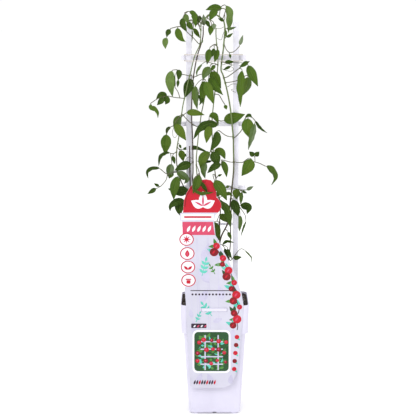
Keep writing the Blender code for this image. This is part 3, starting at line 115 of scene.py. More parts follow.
class Tone:
    """A socket of a material. Sums and products with it are Math nodes, and node() adds any other kind."""

    def __init__(self, tree, socket):
        self.tree = tree
        self.socket = socket

    def node(self, kind, settings, sockets, out=0):
        """A new node of this kind with these settings, and with these values or links on its sockets."""
        made = self.tree.nodes.new(kind)
        for key, value in settings.items():
            if key == "stops":
                while len(made.color_ramp.elements) < len(value):
                    made.color_ramp.elements.new(0.5)
                for stop, (position, colour) in zip(made.color_ramp.elements, value):
                    stop.position = position
                    stop.color = (*colour, 1)
            else:
                setattr(made, key, value)
        for key, value in sockets.items():
            if isinstance(value, Tone):
                self.tree.links.new(value.socket, made.inputs[key])
            else:
                made.inputs[key].default_value = value
        return Tone(self.tree, made.outputs[out])

    def maths(self, operation, *others):
        """This Math operation on the socket and the others."""
        values = dict(enumerate((self, *others)))
        return self.node("ShaderNodeMath", {"operation": operation}, values)

    def __add__(self, other):
        return self.maths("ADD", other)

    def __radd__(self, other):
        return self.maths("ADD", other)

    def __sub__(self, other):
        return self.maths("SUBTRACT", other)

    def __rsub__(self, other):
        return self.node("ShaderNodeMath", {"operation": "SUBTRACT"}, {0: other, 1: self})

    def __mul__(self, other):
        return self.maths("MULTIPLY", other)

    def step(self, low, high):
        """0 below low and 1 above high, with a smooth rise between, or the other way round if low > high."""
        ends = {"From Min": min(low, high), "From Max": max(low, high)}
        rise = self.node("ShaderNodeMapRange", {"interpolation_type": "SMOOTHSTEP"}, {"Value": self, **ends})
        return rise if low < high else 1 - rise

    def blend(self, first, second):
        """The first colour where this is 0, and the second where it is 1."""
        colours = {6: first, 7: second}
        for key, colour in colours.items():
            if not isinstance(colour, Tone):
                colours[key] = (*colour, 1)
        return self.node("ShaderNodeMix", {"data_type": "RGBA"}, {0: self, **colours}, 2)


def finish(name, fixed):
    """A new material, its shader and its place on the object."""
    made = bpy.data.materials.new(name)
    made.use_nodes = True
    shader = made.node_tree.nodes["Principled BSDF"]
    for key, value in fixed.items():
        shader.inputs[key].default_value = value
    place = Tone(made.node_tree, None).node("ShaderNodeTexCoord", {}, {}, "Object")
    return made, shader, place


def speckle(place, scale, detail=3.0, stretch=(1, 1, 1)):
    """Fine or broad noise over a piece, stretched along an axis where its share is under 1."""
    spread = place.node("ShaderNodeMapping", {}, {"Vector": place, "Scale": stretch})
    return place.node("ShaderNodeTexNoise", {}, {"Vector": spread, "Scale": scale, "Detail": detail})


def wear(shader, base, roughness, height, depth):
    """Joins the varying colour, roughness and relief to a shader."""
    base.tree.links.new(base.socket, shader.inputs["Base Color"])
    base.tree.links.new(roughness.socket, shader.inputs["Roughness"])
    bump = height.node("ShaderNodeBump", {}, {"Height": height, "Distance": depth, "Strength": 1.0})
    base.tree.links.new(bump.socket, shader.inputs["Normal"])


POT_ROUNDING = 0.0004
POT_WHITE = (0.660, 0.640, 0.765)
POT_SHADE = (0.625, 0.605, 0.73)
POT_DUST = (0.32, 0.25, 0.20)

pot_plastic, shader, place = finish("pot_plastic", {"Specular IOR Level": 0.45})
high = place.node("ShaderNodeSeparateXYZ", {}, {0: place}, 2)
mottle = speckle(place, 26)
grain = speckle(place, 900, 2.0)
scuffs = speckle(place, 240, 4.0, (1, 1, 0.16)).step(0.63, 0.72)
dusty = speckle(place, 420, 5.0).step(0.56, 0.70) * high.step(0.186, 0.206)
base = mottle.step(0.35, 0.7).blend(POT_SHADE, POT_WHITE)
base = (scuffs * 0.10).blend(base, POT_SHADE)
base = (dusty * 0.35).blend(base, POT_DUST)
wear(shader, base, 0.36 + mottle * 0.14 + scuffs * 0.12, grain * 0.5 + mottle * 2, 0.00006)


SHARP_ANGLE = math.radians(50)
SAME_PLACE = 0.000001
SAME_PLANE = math.radians(1)
OUTER_CORNER = math.radians(40)


def ride_root(name, bm, finishes, stands_for=()):
    """A piece from this mesh, on the one body that the plant and pot are."""
    mesh = bpy.data.meshes.new(name)
    bm.to_mesh(mesh)
    bm.free()
    for surface in finishes:
        mesh.materials.append(surface)
    mesh.shade_smooth()
    mesh.set_sharp_from_angle(angle=SHARP_ANGLE)
    piece = bpy.data.objects.new(name, mesh)
    bpy.context.scene.collection.objects.link(piece)
    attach(piece, "root")
    if stands_for:
        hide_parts(*stands_for)
    return piece


def moulding(name, node, radius, surface):
    """A CAD node's own shape with its outer corners rounded off, as they leave a mould, and even flats."""
    bm = bmesh.new()
    bm.from_mesh(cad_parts[node].data)
    bmesh.ops.remove_doubles(bm, verts=bm.verts, dist=SAME_PLACE)
    bmesh.ops.dissolve_limit(bm, angle_limit=SAME_PLANE, verts=bm.verts, edges=bm.edges)
    corners = [edge for edge in bm.edges if edge.is_convex and edge.calc_face_angle(0) > OUTER_CORNER]
    bmesh.ops.bevel(
        bm, geom=corners, offset=radius, segments=2, profile=0.5, affect="EDGES", clamp_overlap=True,
        material=-1,
    )
    piece = ride_root(name, bm, [surface], [node])
    piece.modifiers.new("even_flats", "WEIGHTED_NORMAL").keep_sharp = True


moulding("pot_moulding", "pot", POT_ROUNDING, pot_plastic)


# The compost: damp peat and fine bark filled into the pot, with a crumbly top a few millimetres under
# the rim. Loose crumbs and white perlite grains lie scattered over it.

SOIL_TOP = 0.2018
SOIL_HALF = 0.0600
SOIL_CORNER = 0.0110
# The compost's sides from the top down, each step as (height, half width).
SOIL_LEVELS = ((0.1580, 0.0575), (0.1572, 0.0541), (0.0065, 0.0446))
SOIL_SQUARES = 64
CLEAR_OF_RIM = 0.004

peat_finish, shader, place = finish("damp_peat", {"Specular IOR Level": 0.25})
lumps = speckle(place, 160, 6.0)
fibres = speckle(place, 700, 4.0, (1, 0.4, 1))
base = lumps.step(0.32, 0.68).blend((0.008, 0.006, 0.005), (0.052, 0.032, 0.022))
base = fibres.step(0.62, 0.74).blend(base, (0.14, 0.09, 0.06))
wear(shader, base, 0.72 + fibres * 0.25, lumps + fibres * 0.6, 0.0012)

perlite_finish, shader, place = finish("perlite_grains", {})
pores = speckle(place, 1500, 4.0)
base = pores.step(0.40, 0.62).blend((0.36, 0.33, 0.31), (0.76, 0.74, 0.74))
wear(shader, base, 0.7 + pores * 0.25, pores, 0.0003)


def soil_height(x, y):
    """The compost's rough top: broad hollows, clods and fine grains."""
    hollows = noise.noise(Vector((x * 55, y * 55, 1.0))) * 0.0016
    clods = noise.noise(Vector((x * 260, y * 260, 4.0))) * 0.0011
    grains = abs(noise.noise(Vector((x * 620, y * 620, 9.0)))) * 0.0009
    return SOIL_TOP + (hollows + clods + grains)


compost = bmesh.new()
bmesh.ops.create_grid(compost, x_segments=SOIL_SQUARES, y_segments=SOIL_SQUARES, size=SOIL_HALF)
reach = SOIL_HALF - SOIL_CORNER
outside = []
for face in compost.faces:
    middle = face.calc_center_median()
    if math.hypot(max(0.0, abs(middle.x) - reach), max(0.0, abs(middle.y) - reach)) > SOIL_CORNER:
        outside.append(face)
bmesh.ops.delete(compost, geom=outside, context="FACES")
for corner in compost.verts:
    corner.co.z = soil_height(corner.co.x, corner.co.y)
width = SOIL_HALF
for level, half in SOIL_LEVELS:
    rim = [edge for edge in compost.edges if edge.is_boundary]
    wall = bmesh.ops.extrude_edge_only(compost, edges=rim)["geom"]
    lower = [item for item in wall if isinstance(item, bmesh.types.BMVert)]
    for corner in lower:
        corner.co.z = level
        corner.co.x *= half / width
        corner.co.y *= half / width
    width = half
bmesh.ops.holes_fill(compost, edges=[edge for edge in compost.edges if edge.is_boundary], sides=0)
bmesh.ops.recalc_face_normals(compost, faces=compost.faces)
ride_root("compost", compost, [peat_finish], ["root_ball"])


def scatter(name, seed, count, small, large, surface):
    """Many little lumps lying on the compost, each a squashed twenty-sided crumb turned its own way."""
    rng = random.Random(seed)
    bm = bmesh.new()
    for _ in range(count):
        x = rng.uniform(-1, 1) * (SOIL_HALF - CLEAR_OF_RIM)
        y = rng.uniform(-1, 1) * (SOIL_HALF - CLEAR_OF_RIM)
        size = rng.uniform(small, large) * rng.uniform(0.6, 1)
        shape = Matrix.Diagonal((size, size * rng.uniform(0.6, 1), size * rng.uniform(0.5, 0.9), 1))
        turn = Matrix.Rotation(rng.uniform(0, math.tau), 4, "Z") @ Matrix.Rotation(rng.uniform(-1, 1), 4, "X")
        at = Matrix.Translation((x, y, soil_height(x, y) + size * 0.25))
        crumb = bmesh.ops.create_icosphere(bm, subdivisions=1, radius=1, matrix=at @ turn @ shape)
        for corner in crumb["verts"]:
            corner.co += Vector([rng.uniform(-0.18, 0.18) * size for _ in range(3)])
    ride_root(name, bm, [surface])


scatter("peat_crumbs", 11, 620, 0.0007, 0.0019, peat_finish)
scatter("perlite", 12, 230, 0.0005, 0.0013, perlite_finish)


# The trellis: one flat ladder moulded in white plastic, pushed into the compost. It is satin, with fine
# drag lines that run up it and a few dull specks.

TRELLIS_ROUNDING = 0.0005

trellis_plastic, shader, place = finish("trellis_plastic", {"Specular IOR Level": 0.45})
drag = speckle(place, 300, 3.0, (1, 1, 0.05))
mottle = speckle(place, 45)
specks = speckle(place, 520, 4.0).step(0.70, 0.78)
base = mottle.step(0.35, 0.7).blend((0.715, 0.70, 0.79), (0.74, 0.728, 0.815))
base = (specks * 0.15).blend(base, (0.42, 0.38, 0.33))
wear(shader, base, 0.38 + drag * 0.2, drag * 0.8 + mottle, 0.00012)
moulding("trellis_moulding", "trellis", TRELLIS_ROUNDING, trellis_plastic)


# The vine's stems: seven thin shoots, rooted in the middle of the pot and led up the ladder. Each has a
# swollen joint where a leaf stalk leaves it, runs from pale or brown bark at the foot to green, and is
# ribbed along its length.

FRONT_MIDDLE = 208.0
FRONT_FOCAL = 1218.0
RING_MERGE = 0.000005


def front_view(column, row, depth_mm):
    """The point that shows at this column and row of the front view, depth_mm behind the ladder's front."""
    right = (column - FRONT_MIDDLE) / FRONT_FOCAL
    up = (FRONT_MIDDLE - row) / FRONT_FOCAL
    ahead = math.cos(CAMERA_TILT) + up * math.sin(CAMERA_TILT)
    rise = up * math.cos(CAMERA_TILT) - math.sin(CAMERA_TILT)
    reach = (depth_mm / 1000 - CAMERA_PLACE.y) / ahead
    return Vector((CAMERA_PLACE.x + reach * right, depth_mm / 1000, CAMERA_PLACE.z + reach * rise))


def grown(points, steps):
    """The way a shoot grows through these points: a smooth curve with this many steps between two."""
    ends = [2 * points[0] - points[1], *points, 2 * points[-1] - points[-2]]
    path = []
    for a, b, c, d in zip(ends, ends[1:], ends[2:], ends[3:]):
        for step in range(steps):
            t = step / steps
            bend_and_painted_shade = 2 * a - 5 * b + 4 * c - d
            twist = 3 * b - a - 3 * c + d
            path.append(0.5 * (2 * b + (c - a) * t + bend_and_painted_shade * t**2 + twist * t**3))
    return [*path, points[-1].copy()]


def evenly(path, count):
    """This many places spaced evenly along a path."""
    lengths = [0.0]
    for a, b in zip(path, path[1:]):
        lengths.append(lengths[-1] + (b - a).length)
    places = []
    leg = 0
    for index in range(count):
        at = lengths[-1] * index / (count - 1)
        while leg < len(path) - 2 and lengths[leg + 1] < at:
            leg += 1
        share = (at - lengths[leg]) / (lengths[leg + 1] - lengths[leg])
        places.append(path[leg].lerp(path[leg + 1], min(1.0, share)))
    return places


def path_length(path):
    """The length of a path from end to end."""
    return sum((b - a).length for a, b in zip(path, path[1:]))


def shoot(bm, path, radii, roundness=2, finish_index=0):
    """Adds a round shoot along a path to a mesh, with a radius for each place and both ends closed."""
    curve = bpy.data.curves.new("shoot", "CURVE")
    curve.dimensions = "3D"
    curve.bevel_depth = 1
    curve.bevel_resolution = roundness
    curve.use_fill_caps = True
    spline = curve.splines.new("POLY")
    spline.points.add(len(path) - 1)
    for place, at, radius in zip(spline.points, path, radii):
        place.co = (*at, 1)
        place.radius = radius
    route = bpy.data.objects.new("shoot", curve)
    bpy.context.scene.collection.objects.link(route)
    made = bpy.data.meshes.new_from_object(route.evaluated_get(bpy.context.evaluated_depsgraph_get()))
    bpy.data.objects.remove(route)
    bpy.data.curves.remove(curve)
    before = len(bm.faces)
    bm.from_mesh(made)
    bpy.data.meshes.remove(made)
    bm.faces.ensure_lookup_table()
    new_faces = bm.faces[before:]
    for face in new_faces:
        face.material_index = finish_index
    corners = list({corner for face in new_faces for corner in face.verts})
    bmesh.ops.remove_doubles(bm, verts=corners, dist=RING_MERGE)


# Each shoot is (radius in metres, bark, its places down the front view as column, row and depth in mm).
SHOOTS = {
    "stem_left": (0.0010, "green", [
        (201, 22, -5), (200.8, 33, -6), (200, 44, -7), (196.5, 52, -6), (193.5, 60, -7),
        (190.5, 73, -12), (188.5, 80, -12), (185.5, 94, -12), (183, 105, -12), (181.4, 116, -12),
        (180.2, 127, -12), (179, 136, -11), (177, 148, -9), (176.5, 160, -8), (178, 172, -8),
        (181, 181, -9), (184, 188, -10), (188, 204, -13), (195, 240, -16), (202, 275, -15),
        (206, 296, -14),
    ]),
    "stem_brown": (0.0011, "brown", [
        (203.2, 26, -1.5), (203, 36, -1.5), (200.5, 46, -2.5), (197.5, 55, -3), (194.5, 70, -3),
        (192.6, 85, -3), (191.7, 105, -3), (191.7, 120, -3), (192.6, 140, -3), (193, 170, -3),
        (192.6, 180, -3), (194, 205, -4), (196, 232, -4), (198, 262, -3), (200, 296, 4),
    ]),
    "stem_right": (0.0013, "green", [
        (204, 20, -8), (208, 15.5, -8), (212, 14.2, -8), (215.5, 14.5, -8), (219, 16.5, -8),
        (222, 19, -8), (224, 22, -8), (225, 30, -7), (224.3, 38, -6), (223.5, 48, -6), (222.4, 56, -5),
        (221.2, 66, -6), (221.2, 71, -6), (223, 75, -6), (226.5, 88, -7), (229.5, 103, -7),
        (231.5, 118, -7.5), (232.3, 127, -7), (233.3, 137.7, -6), (233.5, 150, -6), (233.8, 162, -6),
        (233.5, 172, -6), (232, 187, -6), (230, 205, -8), (228, 222, -10), (225, 229, -10),
        (221.5, 236, -11), (219, 247, -12), (216, 272, -9), (213, 296, -6),
    ]),
    "stem_centre": (0.0010, "green", [
        (216, 28, -12), (216, 35, -12), (216.6, 43, -9), (217.3, 50, -5), (218, 60, -4.5),
        (217, 75, -4), (214, 100, -4), (212, 123, -4), (213, 150, -4), (216, 180, -5), (220.3, 205, -5),
        (219.6, 222, -4), (219.9, 235, -4), (219, 256, -4), (218, 275, 0), (217, 296, 6),
    ]),
    "stem_pale": (0.0010, "green", [
        (204.5, 98, -11), (203.2, 105, -11), (201.3, 114, -10), (199.7, 127, -9), (198.5, 135, -9),
        (197, 150, -9), (196.3, 160, -9), (197, 175, -10), (200, 200, -9), (204, 240, -4),
        (208.5, 296, 4),
    ]),
    "stem_old": (0.0012, "brown", [
        (189.6, 146, -7.5), (189.8, 165, -7), (190.2, 185, -7), (191.5, 205, -9), (193.5, 245, -11),
        (199, 296, -9),
    ]),
    "stem_low": (0.0010, "green", [
        (231.4, 205, 8), (230.6, 226, 7), (230.4, 241, 7), (229.6, 253, 6.5), (227, 272, 5),
        (223, 296, 3),
    ]),
}

# Each leaf is (its shoot, how far its depth is drawn out, its stalk, its leaflets), and each leaflet is
# (tone, apparent width, its stalk, its blade). A capital tone letter shows the underside to the front.
LEAVES = {
    "leaf_01": ("stem_left", 1.8, [
        (200, 44, -7), (198, 43, -12), (193, 37.5, -16), (186.5, 31.5, -18), (182, 27.5, -20),
        (178.5, 26.5, -22), (170.5, 28.5, -24),
    ], [
        ("d", 4.6, [(170.5, 28.5, -24)], [(170, 29.4, -25), (167.8, 33, -26), (166.5, 36.8, -26)]),
        ("L", 5.2, [(170.5, 28.5, -24), (169.4, 33, -22), (167.2, 36.4, -22.5)],
         [(166.6, 37.8, -23), (165.2, 42, -23.5), (165.4, 49, -23)]),
        ("m", 6.2, [(178.5, 26.5, -22)],
         [(177.4, 28, -22), (178.6, 34, -23.5), (181.2, 38.7, -25), (185.6, 41.9, -25)]),
    ]),
    "leaf_02": ("stem_left", 1.7, [
        (200.9, 23, -5), (198.5, 17, -12), (195.8, 13.5, -14), (192, 12, -15), (188, 11.4, -15),
        (184.5, 12.8, -14),
    ], [
        ("L", 5, [(184.5, 12.8, -14)], [(184.8, 14, -14), (188.3, 24, -12)]),
        ("d", 5.5, [(188, 11.4, -15), (184.5, 14.5, -18)],
         [(182.6, 18, -20), (182.8, 24, -22), (186.5, 31.5, -26)]),
        ("m", 5, [(188, 11.4, -15)], [(189.4, 11.4, -17), (194, 15, -19), (195.6, 27.5, -20)]),
    ]),
    "leaf_03": ("stem_left", 1.8, [(200.9, 30, -5.5), (198, 24, 2), (193, 21, 6), (187.5, 21, 8)], [
        ("m", 5.5, [(187.5, 21, 8)], [(187.3, 22, 8), (193, 30, 12)]),
        ("m", 4, [(193, 21, 6), (193.5, 26, 9)], [(193.8, 28.5, 10), (200, 38, 12)]),
        ("m", 1.6, [(193, 21, 6), (191.6, 26, 8)], [(192.2, 30, 8.5), (192.3, 43, 9)]),
    ]),
    "leaf_04": ("stem_left", 1.6, [(201, 24, -5), (202, 21, 2), (201.5, 18, 5), (199.8, 15.8, 6)], [
        ("d", 5.2, [(199.8, 15.8, 6)], [(199.6, 16, 7), (195.5, 26, 12)]),
        ("s", 4.4, [(201.5, 18, 5), (203.6, 24, 3)], [(203.9, 25.5, 3), (203.5, 14, 5)]),
    ]),
    "leaf_05": ("stem_right", 1.8, [(222, 19, -8), (224.5, 14, -12), (225.5, 9.8, -15), (223, 8.3, -17)], [
        ("m", 6, [(223, 8.3, -17)], [(221.8, 8.6, -17.5), (213.5, 7.6, -18), (205.2, 10, -16)]),
        ("m", 6.5, [(223, 8.3, -17), (219, 9.6, -20)],
         [(217.5, 10.2, -20.5), (213, 13.5, -22), (209.8, 20.5, -25)]),
        ("d", 2.8, [(224.5, 14, -12), (224.8, 18, -14)], [(224, 20.8, -15), (218, 18.4, -16)]),
    ]),
    "leaf_06": ("stem_right", 2.2, [(219, 16.5, -8), (220, 11, 0), (221.5, 6.5, 3), (224.5, 4.8, 4)], [
        ("L", 6.5, [(224.5, 4.8, 4)], [(226, 5.6, 4), (229.6, 12, 5), (229.7, 22, 6), (228.7, 33, 9)]),
    ]),
    "leaf_07": ("stem_right", 1.4, [(208, 15.5, -8), (207.5, 18, -13), (209.5, 19.5, -15)], [
        ("d", 3.6, [(207.4, 17.8, -13)], [(206.3, 20.5, -13), (210, 28, -14)]),
        ("m", 5, [(209.5, 19.5, -15), (211.3, 23, -16)], [(211.4, 25.5, -16), (210, 35.5, -18)]),
        ("s", 4, [(209.2, 19.3, -14.6), (213, 21.6, -17)], [(213.8, 23.5, -19), (214.3, 29.5, -20)]),
    ]),
    "leaf_08": ("stem_right", 1.5, [(225, 30, -7), (225.6, 28.5, -13)], [
        ("g", 2.5, [(225.6, 28.5, -13)], [(226.5, 28.3, -14), (230, 29, -15), (236.5, 27, -16)]),
        ("g", 2.5, [(225.6, 28.5, -13)], [(225.6, 30, -15), (226, 38, -19)]),
    ]),
    "leaf_09": ("stem_right", 1.5, [
        (223.8, 45, -6), (226, 49, -14), (229, 52.3, -15), (233, 52, -15), (236, 50, -14),
        (239.3, 46.5, -12),
    ], [
        ("s", 3.2, [(239.3, 46.5, -12)], [(239.7, 45, -12), (243, 35, -10)]),
        ("d", 2.2, [(229, 52.3, -15)], [(229.8, 54, -16), (230.5, 58.5, -17)]),
    ]),
    "leaf_10": ("stem_centre", 1.6, [(216.8, 44, -8), (214, 44.5, -15), (210, 47.3, -18)], [
        ("m", 6, [(210, 47.3, -18)], [(209.5, 49, -18.5), (207, 64.5, -20)]),
        ("m", 5, [(214, 44.5, -15), (217.5, 46.5, -18)], [(218, 49.5, -18.5), (214.5, 62.5, -19)]),
        ("d", 4, [(214, 44.5, -15), (214.2, 47, -20)], [(214.2, 48.5, -22), (212, 57, -25)]),
    ]),
    "leaf_11": ("stem_left", 1.8, [
        (189.6, 76, -12), (185, 74.8, -15), (181, 74, -16), (177.5, 70, -17), (172.8, 70, -18),
    ], [
        ("L", 8, [(172.8, 70, -18)],
         [(172, 70.8, -18), (170, 79, -20), (171, 88, -20), (172.6, 96.8, -17)]),
        ("d", 5.2, [(177.5, 70, -17)], [(177, 70.2, -18), (179.2, 74, -21), (178, 80.5, -21)]),
        ("d", 2.6, [(177.5, 70, -17), (178.2, 78, -20)], [(178.2, 80, -20), (177.6, 87.5, -19)]),
    ]),
    "leaf_12": ("stem_left", 1.5, [
        (184.3, 98.5, -12), (180, 98, -17), (174, 97.3, -24), (168, 96, -29), (163, 96.8, -33),
        (157, 99, -36), (150.5, 103.5, -38),
    ], [
        ("d", 6, [(168, 96, -29)], [(167, 96.6, -30), (161.5, 95, -32), (156.3, 98.8, -36)]),
        ("d", 6, [(163, 96.8, -33)], [(163.8, 97, -31), (167, 100.5, -30), (165.3, 104.5, -29)]),
        ("m", 4.2, [(150.5, 103.5, -38)],
         [(150.7, 104, -38), (150.6, 107.6, -40), (154.5, 108.6, -42), (157.4, 112, -42), (158, 118, -41)]),
        ("d", 1.6, [(180, 98, -17), (178, 92, -16), (175.3, 87.8, -15)],
         [(175, 86.8, -15), (174.4, 80, -15), (174.8, 73, -15)]),
        ("d", 5, [(163, 96.8, -33)], [(163.5, 98, -34), (161, 101, -35), (157, 105.2, -35)]),
    ]),
    "leaf_13": ("stem_left", 1, [(190, 75, -12), (191.8, 75, -8.5)], [
        ("d", 9, [(191.8, 75, -8.5), (192, 77, -8)], [(191.4, 79, -7.5), (188, 88, -7), (184.5, 98, -7)]),
    ]),
    "leaf_14": ("stem_brown", 1.5, [
        (193.6, 77, -3), (197, 75.8, -12), (200, 74.5, -16), (203, 74.5, -20), (203.6, 78.5, -23),
    ], [
        ("m", 8, [(203.6, 78.5, -23), (205.5, 80, -26)],
         [(206, 81.5, -27), (209.2, 92, -30), (213.5, 104, -29)]),
        ("m", 6.5, [(203.6, 78.5, -23)], [(204.2, 81, -22), (203.3, 93, -22), (203.5, 105, -19)]),
        ("g", 6, [(203.6, 78.5, -23), (199, 81.5, -21)],
         [(195.4, 86, -20), (195, 98, -19), (196.5, 110, -17)]),
        ("d", 3.2, [(203.6, 78.5, -23), (199.6, 88, -23)],
         [(198.3, 95, -22.5), (201.8, 100, -22), (199.5, 105.5, -21)]),
    ]),
    "leaf_15": ("stem_centre", 1.4, [
        (217.7, 65, -4.5), (216, 64, -13), (213, 63.5, -22), (210.5, 65, -25),
    ], [
        ("g", 7, [(210.5, 65, -25)], [(210, 67, -26), (205.5, 73, -29), (202.6, 79.5, -33)]),
        ("m", 3.5, [(216, 64, -13)], [(215, 65.2, -14), (210.5, 70.5, -17)]),
        ("g", 2, [(213, 63.5, -22), (206, 61.8, -25)], [(202, 64, -27), (197, 71, -27), (196.6, 77, -26)]),
    ]),
    "leaf_16": ("stem_centre", 1.6, [(217.1, 73, -4), (214, 70.5, -10), (211.5, 70, -13)], [
        ("m", 9, [(211.5, 70, -13)], [(211.5, 71.5, -12.5), (216, 79.5, -11), (221, 88.5, -12)]),
        ("m", 7, [(211.5, 70, -13), (209, 74, -16)], [(208.6, 78, -17), (215, 86.5, -18), (223, 95, -18)]),
    ]),
    "flower_bud": ("stem_centre", 1.5, [
        (214.5, 94, -4), (219, 95, -12), (222, 100, -14), (224.5, 104, -15),
    ], [
        ("m", 3.4, [(224.5, 104, -15)], [(225, 105, -15), (226.6, 109.5, -16)]),
    ]),
    "leaf_17": ("stem_right", 1.3, [(221.8, 62, -5.3), (224, 62.3, -14)], [
        ("d", 3.8, [(224, 62.3, -14)], [(225, 62.2, -15), (234, 61.8, -16)]),
        ("d", 2.5, [(224, 62.3, -14), (229, 64, -18), (231.5, 65, -19)],
         [(230.5, 66.3, -19), (223, 70, -17)]),
    ]),
    "leaf_18": ("stem_right", 1.7, [
        (223.8, 78, -6.3), (228, 76.5, -12), (233, 73, -16), (239, 68.5, -20), (244, 65, -22),
        (247.5, 63.5, -22),
    ], [
        ("m", 8, [(247.5, 63.5, -22)], [(248, 65.5, -22), (252.5, 75, -25), (258, 86.5, -24)]),
        ("m", 7, [(239, 68.5, -20), (241.5, 69, -24)],
         [(242.2, 70.5, -25), (241.2, 88, -28), (240.6, 107, -27)]),
        ("d", 4, [(247.5, 63.5, -22), (249.3, 61.3, -24)], [(248, 61.5, -26), (239.5, 67.5, -29)]),
    ]),
    "leaf_19": ("stem_right", 1.3, [
        (225.2, 83, -6.7), (229, 82.3, -11), (235, 81.2, -13), (240, 79.3, -14), (244, 76.5, -15),
        (247.5, 75.2, -15),
    ], [
        ("g", 8, [(247.5, 75.2, -15)], [(248, 77, -15), (246.8, 85, -17), (242, 96, -16)]),
    ]),
    "leaf_20": ("stem_left", 1.5, [(181.4, 116, -12), (184, 114.5, -17), (186, 113, -18)], [
        ("o", 6, [(186, 113, -18)], [(186.6, 112.6, -18), (195, 112.6, -20), (204.3, 115, -22)]),
    ]),
    "leaf_21": ("stem_left", 1.8, [(181.4, 116, -12), (179.8, 115.6, -17), (178.5, 118, -19)], [
        ("g", 7, [(179.8, 115.6, -17)], [(179.5, 115.8, -18), (177, 121.5, -17), (173.6, 128.5, -15)]),
        ("o", 8, [(178.5, 118, -19), (175.5, 122, -20)],
         [(175.2, 124.3, -20), (180, 131, -22), (186, 140.3, -20)]),
    ]),
    "leaf_22": ("stem_left", 3.0, [
        (180.2, 127, -12), (175, 125.5, -6), (171, 126.8, -3), (168, 129, -2), (166.8, 133, -2),
    ], [
        ("m", 9.5, [(166.8, 133, -2)], [(166.4, 134.4, -2), (165.8, 144.5, -4), (165, 154.5, -2)]),
        ("d", 3, [(171, 126.8, -3)], [(170.4, 126.9, -3), (167.4, 129.6, -2), (166.4, 135, -2)]),
    ]),
    "leaf_23": ("stem_left", 1.3, [
        (181.4, 114.5, -12), (186.5, 119, -18), (191.5, 123.5, -20), (199, 127, -22), (205, 122.5, -24),
        (209, 120, -24),
    ], [
        ("d", 7.5, [(209, 120, -24), (214, 121.3, -25), (218, 124, -26)],
         [(218, 125.3, -26), (209, 124.6, -28), (200.5, 129, -28), (194.8, 140, -27)]),
        ("o", 7, [(209, 120, -24), (210, 124.5, -27)],
         [(209.6, 126, -29), (207.8, 134, -30), (206.3, 143, -29)]),
        ("m", 5.4, [(209, 120, -24)], [(209.2, 116.4, -23), (214.5, 115.6, -22), (218.6, 124, -20)]),
    ]),
    "leaf_24": ("stem_left", 1.5, [(177.2, 147.5, -9), (178.6, 148.8, 0), (181, 149.6, 12)], [
        ("d", 3.4, [(181, 149.6, 12)],
         [(182.5, 149.4, 13), (190, 147.4, 14.5), (198, 148, 15), (209, 152.5, 14)]),
        ("o", 6, [(178.6, 148.8, 0)], [(180, 150.5, -1), (182, 155, -2), (183.3, 161.5, -3)]),
        ("d", 2.6, [(181, 149.6, 12), (182.5, 153, 12)], [(183.6, 155.4, 12), (189, 154.8, 11)]),
    ]),
    "leaf_25": ("stem_left", 1.8, [(176.7, 152, -8.5), (173.5, 153.6, -14), (170.5, 153.2, -16)], [
        ("d", 3.4, [(170.5, 153.2, -16)],
         [(169.8, 153, -16), (165, 153.4, -18), (160.4, 157.5, -19), (159.6, 166, -20)]),
        ("d", 3.4, [(173.5, 153.6, -14)], [(172.6, 156, -16), (175, 164, -18)]),
        ("g", 7, [(170.5, 153.2, -16), (171.5, 160, -14)],
         [(171.6, 164, -13), (170, 170, -14), (169, 178.5, -13)]),
    ]),
    "leaf_26": ("stem_centre", 1, [(212.4, 118, -4), (216, 119.5, -3), (221, 121, -2.6)], [
        ("m", 10, [(221, 121, -2.6)], [(224, 120.5, -2.2), (234, 117.6, -2.2), (245, 114.5, -3)]),
    ]),
    "leaf_27": ("stem_right", 1.6, [
        (233.3, 137.7, -6), (237, 135.5, -12), (241, 131, -15), (243.2, 126, -17), (244.5, 119.5, -18),
        (248, 116.5, -18), (252, 117.5, -19), (255, 120.5, -20),
    ], [
        ("d", 2.6, [(255, 120.5, -20)], [(255.4, 121, -20), (259.5, 127.5, -22), (266.5, 134, -22)]),
        ("m", 10.5, [(248, 116.5, -18)], [(248, 118.5, -21), (247.6, 128, -24), (249.3, 138, -23)]),
        ("g", 5, [(255, 120.5, -20), (255.3, 122, -26)],
         [(254.6, 123.5, -28), (251.6, 135, -31), (247, 149.8, -30)]),
        ("d", 3, [(252, 117.5, -19)], [(251.6, 116.4, -23), (248.5, 115.2, -24), (245, 117.4, -24)]),
    ]),
    "leaf_28": ("stem_right", 1.5, [
        (233.2, 136.5, -6), (229, 136.5, -12), (225, 135, -14), (219, 130.5, -16),
    ], [
        ("d", 7.5, [(219, 130.5, -16)], [(216.6, 131.3, -17), (216.6, 140, -19), (210.3, 151.3, -22)]),
    ]),
    "leaf_29": ("stem_centre", 1.6, [(213, 148, -4), (211.8, 149.5, -10), (211, 150.5, -13)], [
        ("m", 6.5, [(211.8, 149.5, -10)], [(214.5, 150.3, -11), (221.5, 152, -12), (225.3, 159.5, -12)]),
        ("d", 9, [(211, 150.5, -13)], [(212, 152, -14), (215.6, 158, -16), (218, 166.5, -15)]),
        ("o", 8.5, [(211, 150.5, -13)], [(209.8, 152.3, -15), (203, 158.5, -18), (200.8, 170, -18)]),
        ("g", 5.5, [(211, 150.5, -13), (207, 158, -17)],
         [(205.8, 163, -19), (203.5, 171, -20), (205.2, 178.5, -19)]),
        ("d", 2.4, [(211, 150.5, -13), (212.3, 157, -10.5)],
         [(211.8, 161, -10), (203, 162, -9.5), (196.5, 161, -9)]),
    ]),
    "leaf_30": ("stem_right", 1.5, [
        (233.8, 162, -6), (230, 162, -12), (225, 160.6, -15), (221.5, 159.8, -17),
    ], [
        ("m", 5.5, [(221.5, 159.8, -17)], [(221.8, 160.8, -17), (225.3, 168, -18), (226.6, 177.3, -19)]),
        ("d", 6, [(221.5, 159.8, -17), (221.8, 162.5, -20)],
         [(221, 164.3, -21), (214, 166.8, -23), (207.2, 173.5, -23)]),
    ]),
    "leaf_31": ("stem_right", 1, [
